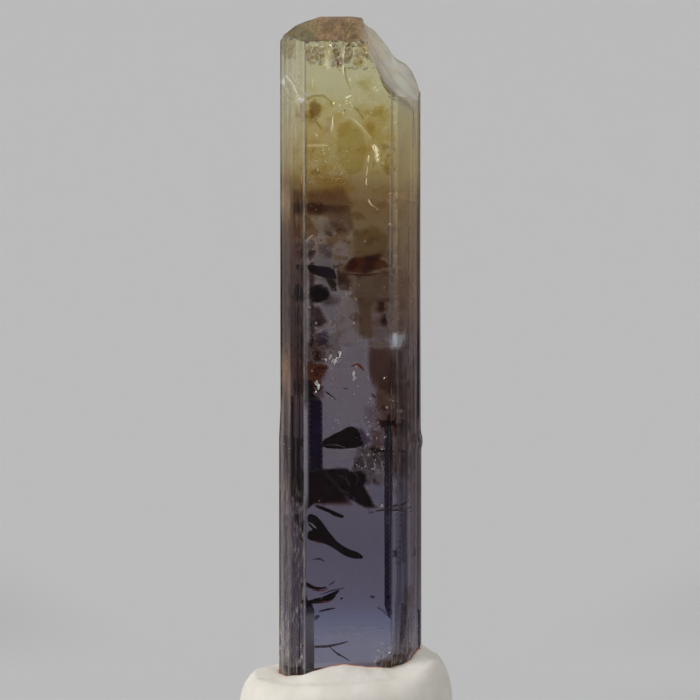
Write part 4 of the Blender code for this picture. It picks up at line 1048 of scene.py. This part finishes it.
def scatter(plates):
    """Angular fragments of old fractures, strewn through the crystal at every depth."""
    rng = np.random.default_rng(29)
    number = 100
    for x0, x1, y0, y1, count, sizes, colours in CLOUDS:
        for _ in range(count):
            px, py = rng.uniform(x0, x1), rng.uniform(y0, y1)
            size = rng.uniform(*sizes)
            turn = rng.uniform(0, math.pi)
            corners = int(rng.integers(3, 6))
            shape = []
            for k in range(corners):
                angle = turn + 2 * math.pi * (k + rng.uniform(-0.3, 0.3)) / corners
                reach = size * rng.uniform(0.55, 1.0)
                shape.append((px + reach * math.cos(angle), py + 0.7 * reach * math.sin(angle)))
            room = 2.2 if 312 < px < 388 else 0.6
            depth = rng.uniform(-2.2, room)
            colour = colours[int(rng.integers(len(colours)))]
            strength = rng.uniform(0.3, 1.0)
            faded = tuple(c ** strength for c in colour)
            lean = (rng.uniform(-0.6, 0.6), rng.uniform(-1.2, 1.2))
            edge_x, edge_z = seen_at(np.array(shape)[:, 0], np.array(shape)[:, 1], depth)
            under = top_height(edge_x - CRYSTAL_X, np.full(corners, depth)) - 0.45
            if (edge_z > under).any() or (np.abs(edge_x - CRYSTAL_X) > 3.2).any():
                continue
            plates.add(shape, faded, depth, lean, rng.uniform(0.0, 0.12), passes=0, seed=number)
            number += 1


GLINT_NORMAL = (-0.23, -0.957, 0.175)


def glint_mesh():
    """Small tilted mirror-bright facets just under the front face."""
    rng = np.random.default_rng(31)
    verts, faces = [], []
    shards = []
    for px, py, size in GLINTS:
        shards.append((px, py, size))
        for _ in range(int(rng.integers(0, 3))):
            shards.append((px + rng.normal(0, 1.2) * size, py + rng.normal(0, 1.2) * size, size * 0.5))
    for px, py, size in shards:
        depth = float(along(INSIDE_FRONT, (px - PHOTO_MID_X) / PX_PER_MM)) + 0.12
        x, z = seen_at(px, py, depth)
        middle = Vector((x, depth, z))
        normal = Vector(GLINT_NORMAL) + Vector(rng.normal(0, 0.13, 3))
        normal.normalize()
        along_x = normal.cross(Vector((0, 0, 1))).normalized()
        along_z = along_x.cross(normal)
        corners = int(rng.integers(3, 6))
        base = len(verts)
        reach = size / PX_PER_MM / 2
        turn = rng.uniform(-0.9, 0.9)
        stretch = rng.uniform(0.9, 2.4)
        rim = []
        for k in range(corners):
            angle = 2 * math.pi * (k + rng.uniform(-0.3, 0.3)) / corners
            spread = reach * rng.uniform(0.5, 1.2)
            a, b = math.cos(angle) * spread / math.sqrt(stretch), math.sin(angle) * spread * math.sqrt(stretch)
            rim.append(along_x * (a * math.cos(turn) - b * math.sin(turn))
                       + along_z * (a * math.sin(turn) + b * math.cos(turn)))
        for shift in (0.008, -0.008):
            verts += [tuple(middle + r + normal * shift) for r in rim]
        faces.append(tuple(base + k for k in range(corners)))
        faces.append(tuple(base + corners + k for k in reversed(range(corners))))
        for k in range(corners):
            j = (k + 1) % corners
            faces.append((base + k, base + corners + k, base + corners + j, base + j))
    return mesh_from("glints", verts, faces)


def link(name, mesh):
    obj = bpy.data.objects.new(name, mesh)
    bpy.context.scene.collection.objects.link(obj)
    return obj


def camera():
    data = bpy.data.cameras.new("camera")
    data.sensor_width = SENSOR
    data.lens = SENSOR * CAMERA_DISTANCE / (PHOTO_SIZE / PX_PER_MM)
    obj = link("camera", data)
    tilt = math.radians(CAMERA_ELEVATION)
    obj.location = (
        CRYSTAL_X * MM,
        -CAMERA_DISTANCE * MM * math.cos(tilt),
        (PHOTO_MID_Z + CAMERA_DISTANCE * math.sin(tilt)) * MM,
    )
    obj.rotation_euler = (math.radians(90 - CAMERA_ELEVATION), 0, 0)
    data.clip_start = 0.01
    data.clip_end = 20
    bpy.context.scene.camera = obj


def new_material(name):
    material = bpy.data.materials.new(name)
    material.use_nodes = True
    nodes = material.node_tree.nodes
    shader = nodes["Principled BSDF"]
    return material, nodes, material.node_tree.links, shader


def ramp(nodes, stops):
    node = nodes.new("ShaderNodeValToRGB")
    node.color_ramp.interpolation = "LINEAR"
    elements = node.color_ramp.elements
    while len(elements) > 1:
        elements.remove(elements[-1])
    elements[0].position = stops[0][0]
    elements[0].color = (*stops[0][1], 1)
    for place, colour in stops[1:]:
        e = elements.new(place)
        e.color = (*colour, 1)
    return node


# Colour of the crystal along its height: fraction of the light that five millimetres let through.
ZONES = (
    (4.6, (0.28, 0.28, 0.39)),
    (5.8, (0.27, 0.27, 0.38)),
    (6.8, (0.194, 0.205, 0.33)),
    (7.6, (0.170, 0.158, 0.24)),
    (8.5, (0.165, 0.148, 0.222)),
    (10.5, (0.150, 0.132, 0.192)),
    (17.2, (0.198, 0.168, 0.214)),
    (22.2, (0.21, 0.175, 0.185)),
    (24.4, (0.235, 0.185, 0.18)),
    (26.6, (0.32, 0.225, 0.14)),
    (27.9, (0.32, 0.21, 0.09)),
    (29.0, (0.52, 0.40, 0.16)),
    (30.8, (0.64, 0.52, 0.22)),
    (33.0, (0.78, 0.73, 0.42)),
    (36.4, (0.80, 0.74, 0.46)),
)
SPLIT = 0.25


def height_share(nodes, links):
    coord = nodes.new("ShaderNodeTexCoord")
    split = nodes.new("ShaderNodeSeparateXYZ")
    links.new(coord.outputs["Object"], split.inputs[0])
    share = nodes.new("ShaderNodeMapRange")
    share.inputs["From Min"].default_value = 0.0
    share.inputs["From Max"].default_value = 40.0 * MM
    links.new(split.outputs["Z"], share.inputs["Value"])
    return share.outputs["Result"], coord


def mix_colour(nodes, links, factor, first, second, blend="MIX"):
    node = nodes.new("ShaderNodeMix")
    node.data_type = "RGBA"
    node.blend_type = blend
    for value, socket in ((factor, node.inputs[0]), (first, node.inputs[6]), (second, node.inputs[7])):
        if isinstance(value, (tuple, float, int)):
            socket.default_value = value
        else:
            links.new(value, socket)
    return node.outputs[2]


def attribute(nodes, name):
    node = nodes.new("ShaderNodeVertexColor")
    node.layer_name = name
    return node.outputs["Color"]


def crystal_material():
    material, nodes, links, shader = new_material("tanzanite")
    shader.inputs["IOR"].default_value = 1.69
    shader.inputs["Specular Tint"].default_value = (0.42, 0.32, 0.36, 1)
    share, coord = height_share(nodes, links)
    body = ramp(nodes, [(z / 40.0, tuple(c ** SPLIT for c in colour)) for z, colour in ZONES])
    links.new(share, body.inputs["Fac"])
    tinted = mix_colour(nodes, links, 1.0, body.outputs["Color"], attribute(nodes, "tint"), "MULTIPLY")
    # The frost and worn attributes give a scattering surface: real frosting and etch in places, painted highlight and
    # painted light in others.
    frost_and_highlight = attribute(nodes, "frost_and_highlight")
    frosted_and_highlit = mix_colour(nodes, links, frost_and_highlight, tinted, attribute(nodes, "worn_and_highlight"))
    links.new(frosted_and_highlit, shader.inputs["Base Color"])
    clear = nodes.new("ShaderNodeMapRange")
    clear.inputs["To Min"].default_value = 1.0
    clear.inputs["To Max"].default_value = 0.35
    links.new(frost_and_highlight, clear.inputs["Value"])
    links.new(clear.outputs["Result"], shader.inputs["Transmission Weight"])
    rough = nodes.new("ShaderNodeMapRange")
    rough.inputs["To Min"].default_value = 0.0
    rough.inputs["To Max"].default_value = 0.45
    links.new(frost_and_highlight, rough.inputs["Value"])
    links.new(rough.outputs["Result"], shader.inputs["Roughness"])
    absorb = nodes.new("ShaderNodeVolumeAbsorption")
    stops = []
    for z, colour in ZONES:
        stops.append((z / 40.0, tuple(1 + math.log(c ** (1 - SPLIT)) / 2 for c in colour)))
    tint = ramp(nodes, stops)
    links.new(share, tint.inputs["Fac"])
    links.new(tint.outputs["Color"], absorb.inputs["Color"])
    absorb.inputs["Density"].default_value = 2 / (5.0 * MM)
    links.new(absorb.outputs["Volume"], nodes["Material Output"].inputs["Volume"])
    return material


def stain_and_shade_material():
    material, nodes, links, shader = new_material("stain_and_shade")
    shader.inputs["Transmission Weight"].default_value = 1.0
    shader.inputs["IOR"].default_value = 1.0
    shader.inputs["Roughness"].default_value = 0.0
    links.new(attribute(nodes, "stain_and_shade"), shader.inputs["Base Color"])
    return material


def veil_and_shade_band_material():
    material, nodes, links, shader = new_material("shining_veil_and_shade_band")
    shader.inputs["IOR"].default_value = 1.0
    shader.inputs["Transmission Weight"].default_value = 1.0
    shader.inputs["Roughness"].default_value = 0.3
    links.new(attribute(nodes, "veil_and_shade_band"), shader.inputs["Base Color"])
    split = nodes.new("ShaderNodeSeparateColor")
    links.new(attribute(nodes, "shine"), split.inputs[0])
    links.new(split.outputs["Red"], shader.inputs["Metallic"])
    return material


def glint_material():
    material, nodes, links, shader = new_material("glint")
    shader.inputs["Base Color"].default_value = (0.9, 0.9, 0.88, 1)
    shader.inputs["Metallic"].default_value = 1.0
    shader.inputs["Roughness"].default_value = 0.25
    return material


def stage():
    bpy.ops.mesh.primitive_circle_add(vertices=96, radius=6.0, fill_type="NGON", location=(0, 0, 0))
    floor = bpy.context.object
    floor.name = "floor"
    material, nodes, links, shader = new_material("floor_paper")
    coord = nodes.new("ShaderNodeTexCoord")
    split = nodes.new("ShaderNodeSeparateXYZ")
    links.new(coord.outputs["Object"], split.inputs[0])
    angle = nodes.new("ShaderNodeMath")
    angle.operation = "ARCTAN2"
    links.new(split.outputs["X"], angle.inputs[0])
    links.new(split.outputs["Y"], angle.inputs[1])
    turn = nodes.new("ShaderNodeMapRange")
    turn.inputs["From Min"].default_value = -math.pi
    turn.inputs["From Max"].default_value = math.pi
    links.new(angle.outputs[0], turn.inputs["Value"])
    # Painted light and shade on the floor paper: its tone by compass angle, and full bright within a few centimetres of
    # the crystal.
    tones = ramp(nodes, [((a + 180) / 360, (v, v, v)) for a, v in FLOOR_LIGHT_AND_SHADE])
    links.new(turn.outputs["Result"], tones.inputs["Fac"])
    far = nodes.new("ShaderNodeVectorMath")
    far.operation = "LENGTH"
    links.new(coord.outputs["Object"], far.inputs[0])
    reach = nodes.new("ShaderNodeMapRange")
    reach.interpolation_type = "SMOOTHSTEP"
    reach.inputs["From Min"].default_value = 0.035
    reach.inputs["From Max"].default_value = 0.075
    links.new(far.outputs["Value"], reach.inputs["Value"])
    full = mix_colour(nodes, links, reach.outputs["Result"], (1.0, 1.0, 1.0, 1), tones.outputs["Color"])
    paper = mix_colour(nodes, links, 1.0, full, (*FLOOR_COLOUR, 1), "MULTIPLY")
    links.new(paper, shader.inputs["Base Color"])
    shader.inputs["Roughness"].default_value = 0.9
    shader.inputs["Specular IOR Level"].default_value = 0.1
    floor.data.materials.append(material)


FLOOR_COLOUR = (0.55, 0.55, 0.55)
# The paper's painted light and shade by compass angle, darker to the sides and in front and lighter behind:
# 0 is straight behind the crystal, positive to the right.
FLOOR_LIGHT_AND_SHADE = (
    (-180, 0.5), (-120, 0.5), (-90, 0.52), (-57, 0.75), (-39, 0.52), (-22, 0.85), (-13, 1.0), (13, 1.0),
    (22, 0.88), (39, 0.80), (67, 0.85), (90, 0.52), (120, 0.5), (180, 0.5),
)
SKY = 0.295
# Soft boxes far away: direction, cosine where the light starts and where it is full, colour.
BOXES = (
    ((-0.75, -0.43, 0.50), 0.90, 0.94, (2.8, 2.8, 2.8)),
    ((0.88, -0.15, 0.45), 0.95, 0.97, (1.75, 1.75, 1.8)),
    ((0.0, 0.25, 0.97), 0.88, 0.93, (1.4, 1.4, 1.4)),
)
KEY_STRENGTH = 0.9


def lights():
    world = bpy.data.worlds.new("studio")
    bpy.context.scene.world = world
    world.use_nodes = True
    nodes, links = world.node_tree.nodes, world.node_tree.links
    coord = nodes.new("ShaderNodeTexCoord")
    total = (SKY, SKY, SKY, 1)
    for direction, start, full, colour in BOXES:
        dot = nodes.new("ShaderNodeVectorMath")
        dot.operation = "DOT_PRODUCT"
        dot.inputs[1].default_value = Vector(direction).normalized()
        links.new(coord.outputs["Generated"], dot.inputs[0])
        spread = nodes.new("ShaderNodeMapRange")
        spread.interpolation_type = "SMOOTHSTEP"
        spread.inputs["From Min"].default_value = start
        spread.inputs["From Max"].default_value = full
        links.new(dot.outputs["Value"], spread.inputs["Value"])
        total = mix_colour(nodes, links, spread.outputs["Result"], total, (*colour, 1))
    links.new(total, nodes["Background"].inputs["Color"])
    nodes["Background"].inputs["Strength"].default_value = 1.0
    key = bpy.data.lights.new("key", "SUN")
    key.energy = KEY_STRENGTH
    key.angle = math.radians(25)
    obj = link("key", key)
    obj.rotation_euler = Vector((-0.78, -0.30, 0.62)).to_track_quat("Z", "Y").to_euler()


def putty_outline(angle):
    c, s = np.cos(angle), np.sin(angle)
    reach = (np.abs(c) ** PUTTY_SQUARENESS + np.abs(s) ** PUTTY_SQUARENESS) ** (-1 / PUTTY_SQUARENESS)
    press = 1 - PUTTY_PRESS * np.sin(2 * angle) ** 2 * (1 + np.sin(3 * angle + 0.6))
    return c * reach * press * PUTTY_WIDTH / 2, s * reach * press * PUTTY_DEPTH / 2


def crystal_edge(angles, z):
    """Where a line from the crystal's axis at each angle leaves its outline."""
    columns = wall_columns()
    x, y = wall_place(columns, np.full(len(columns[0]), z))
    at = np.arctan2(y, x)
    order = np.argsort(at)
    reach = np.interp(angles, at[order], np.hypot(x, y)[order], period=2 * math.pi)
    return np.cos(angles) * reach, np.sin(angles) * reach


def putty_mesh():
    count = 420
    angles = -math.pi + 2 * math.pi * np.arange(count) / count
    compass = np.degrees(angles)
    shoulder, rim = along(PUTTY_SHOULDER, compass), along(PUTTY_RIM, compass)
    for _ in range(12):
        shoulder = (np.roll(shoulder, 1) + 2 * shoulder + np.roll(shoulder, -1)) / 4
    rim = rim + 0.03 * grain(np.cos(angles) * 3, np.sin(angles) * 3, rim * 0, (0.5, 0.5, 1), 80)
    outer_x, outer_y = putty_outline(angles)
    inner_x, inner_y = crystal_edge(angles, 4.5)
    inner_x = inner_x + CRYSTAL_X
    rows = []
    rim_share = []
    for t in np.linspace(0, 1, 16):
        index = t * (len(PUTTY_SIDE) - 1)
        share = np.interp(index, range(len(PUTTY_SIDE)), [s for s, _ in PUTTY_SIDE])
        lift = np.interp(index, range(len(PUTTY_SIDE)), [h for _, h in PUTTY_SIDE])
        rows.append(np.column_stack([outer_x * share, outer_y * share, shoulder * lift]))
        rim_share.append(0.0)
    for t in np.linspace(0, 1, 26) ** 0.9:
        climb = smooth(t) * 0.75 + 0.25 * t ** 3
        x = outer_x * PUTTY_SHOULDER_SHARE * (1 - t) + inner_x * t
        y = outer_y * PUTTY_SHOULDER_SHARE * (1 - t) + inner_y * t
        rows.append(np.column_stack([x, y, shoulder + (rim - shoulder) * climb]))
        rim_share.append(t)
    for drop, inset in ((0.03, 0.02), (0.3, 0.03), (1.0, 0.03)):
        x = inner_x - (inner_x - CRYSTAL_X) * inset / 2.5
        rows.append(np.column_stack([x, inner_y * (1 - inset / 2.5), rim - drop]))
        rim_share.append(1.0)
    rows.append(np.column_stack([inner_x * 0.98, inner_y * 0.98, np.full(count, CRYSTAL_FOOT_Z - SOCKET_GAP)]))
    rim_share.append(1.0)
    smoothed = [r.copy() for r in rows]
    for k in range(1, 40):
        smoothed[k] = (rows[k - 1] + 2 * rows[k] + rows[k + 1]) / 4
    rows = smoothed
    verts = np.concatenate(rows)
    faces = []
    for r in range(len(rows) - 1):
        for k in range(count):
            j = (k + 1) % count
            faces.append((r * count + k, r * count + j, (r + 1) * count + j, (r + 1) * count + k))
    faces.append(tuple(range(count))[::-1])
    faces.append(tuple(range((len(rows) - 1) * count, len(rows) * count)))
    mesh = mesh_from("putty_lump", verts, faces)
    share = np.repeat(rim_share, count)
    normals = np.array([v.normal[:] for v in mesh.vertices])
    x, y, z = verts.T
    dents = 0.07 * grain(x, y, z, (1.5, 1.5, 1.1), 81) + 0.03 * grain(x, y, z, (0.5, 0.5, 0.4), 82)
    dents += 0.012 * grain(x, y, z, (0.18, 0.18, 0.18), 83)
    dents = np.minimum(dents, 0.03)
    weight = smooth((1 - share) / 0.25) * smooth(z / 0.5) * (share < 1)
    moved = verts + normals * (dents * weight)[:, None]
    moved[:, 2] = np.maximum(moved[:, 2], 0.0)
    mesh.vertices.foreach_set("co", (moved * MM).ravel())
    mesh.update()
    # The rim attribute marks painted light: an orange-red line along the putty's contact with the crystal.
    paint(mesh, "rim", np.repeat(smooth((share - 0.9) / 0.08)[:, None], 3, axis=1))
    return mesh


def putty_material():
    material, nodes, links, shader = new_material("white_putty")
    coord = nodes.new("ShaderNodeTexCoord")
    blotch = nodes.new("ShaderNodeTexNoise")
    blotch.inputs["Scale"].default_value = 700
    blotch.inputs["Detail"].default_value = 4
    links.new(coord.outputs["Object"], blotch.inputs["Vector"])
    tones = ramp(nodes, [(0.35, (0.74, 0.69, 0.61)), (0.65, (0.82, 0.78, 0.71))])
    links.new(blotch.outputs["Fac"], tones.inputs["Fac"])
    # Painted light: the putty turns orange-red along its contact with the crystal.
    rim_painted_light = mix_colour(nodes, links, attribute(nodes, "rim"), tones.outputs["Color"], (0.52, 0.14, 0.06, 1))
    links.new(rim_painted_light, shader.inputs["Base Color"])
    shader.inputs["Roughness"].default_value = 0.6
    fine = nodes.new("ShaderNodeTexNoise")
    fine.inputs["Scale"].default_value = 5000
    fine.inputs["Detail"].default_value = 3
    links.new(coord.outputs["Object"], fine.inputs["Vector"])
    bump = nodes.new("ShaderNodeBump")
    bump.inputs["Strength"].default_value = 0.25
    bump.inputs["Distance"].default_value = 0.00004
    links.new(fine.outputs["Fac"], bump.inputs["Height"])
    links.new(bump.outputs["Normal"], shader.inputs["Normal"])
    return material


def place(obj, material, node=None, slot="tanzanite"):
    obj.data.materials.append(material)
    if node:
        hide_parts(node)
    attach(obj, "root")


camera()
stage()
lights()

mesh, sides, verts = crystal_mesh()
crystal_paint(mesh, sides, verts)
crystal = link("tanzanite_crystal", mesh)
mesh.shade_smooth()
mesh.set_sharp_from_angle(angle=math.radians(18))
place(crystal, crystal_material(), "crystal")

stains_and_shade = Plates()
for number, (colour, depth, lean_x, lean_z, soft, outline) in enumerate(STAINS_AND_SHADE):
    smoothing = 1 if len(outline) > 6 else 0
    stains_and_shade.add(outline, colour, depth, (lean_x, lean_z), soft, passes=smoothing, seed=number)
for number, (colour, depth, lean_x, lean_z, soft, closed, outline) in enumerate(SHEETS):
    stains_and_shade.add(outline, colour, depth, (lean_x, lean_z), soft, curl=0.2, passes=0, seed=300 + number, patch=closed)
for number, (colour, depth, width, points) in enumerate(CRACKS):
    stains_and_shade.add(ribbon(points, width), colour, depth, (0.0, 0.5), 0.0, passes=0, seed=50 + number)
scatter(stains_and_shade)
mesh = stains_and_shade.build("inner_stains_and_shade")
paint(mesh, "stain_and_shade", np.concatenate(stains_and_shade.colours))
place(link("inner_stains_and_shade", mesh), stain_and_shade_material())

veil_plates_and_shade_bands = Plates()
strengths = []
for number, (colour, shine, depth, soft, outline) in enumerate(VEILS_AND_SHADE_BANDS):
    veil_plates_and_shade_bands.add(outline, colour, depth, SHINE_LEAN, soft, passes=0, seed=200 + number)
    strengths += [shine] * 2
for number, (shine, width, points) in enumerate(SCRATCHES):
    veil_plates_and_shade_bands.add(ribbon(points, width), WHITE, -2.2, SHINE_LEAN, 0.0, 0.0, passes=0, thick=0.01, seed=240 + number)
    strengths += [shine] * 2
strengths += scatter_flecks(veil_plates_and_shade_bands)
mesh = veil_plates_and_shade_bands.build("pale_veils_and_shade_bands")
paint(mesh, "veil_and_shade_band", np.concatenate(veil_plates_and_shade_bands.colours))
paint(mesh, "shine", np.repeat(np.concatenate([s * m for s, m in zip(veil_plates_and_shade_bands.shares, strengths)]), 3, axis=1))
place(link("pale_veils_and_shade_bands", mesh), veil_and_shade_band_material())
place(link("glints", glint_mesh()), glint_material())

putty = link("putty_lump", putty_mesh())
putty.data.shade_smooth()
place(putty, putty_material(), "putty_base", "putty")

bpy.context.scene.view_settings.view_transform = "Standard"

# Light passes through many thin stains, painted shade sheets and veils on its way, so its paths are long.
LIGHT_STEPS = 32
bpy.context.scene.cycles.max_bounces = LIGHT_STEPS
bpy.context.scene.cycles.transmission_bounces = LIGHT_STEPS
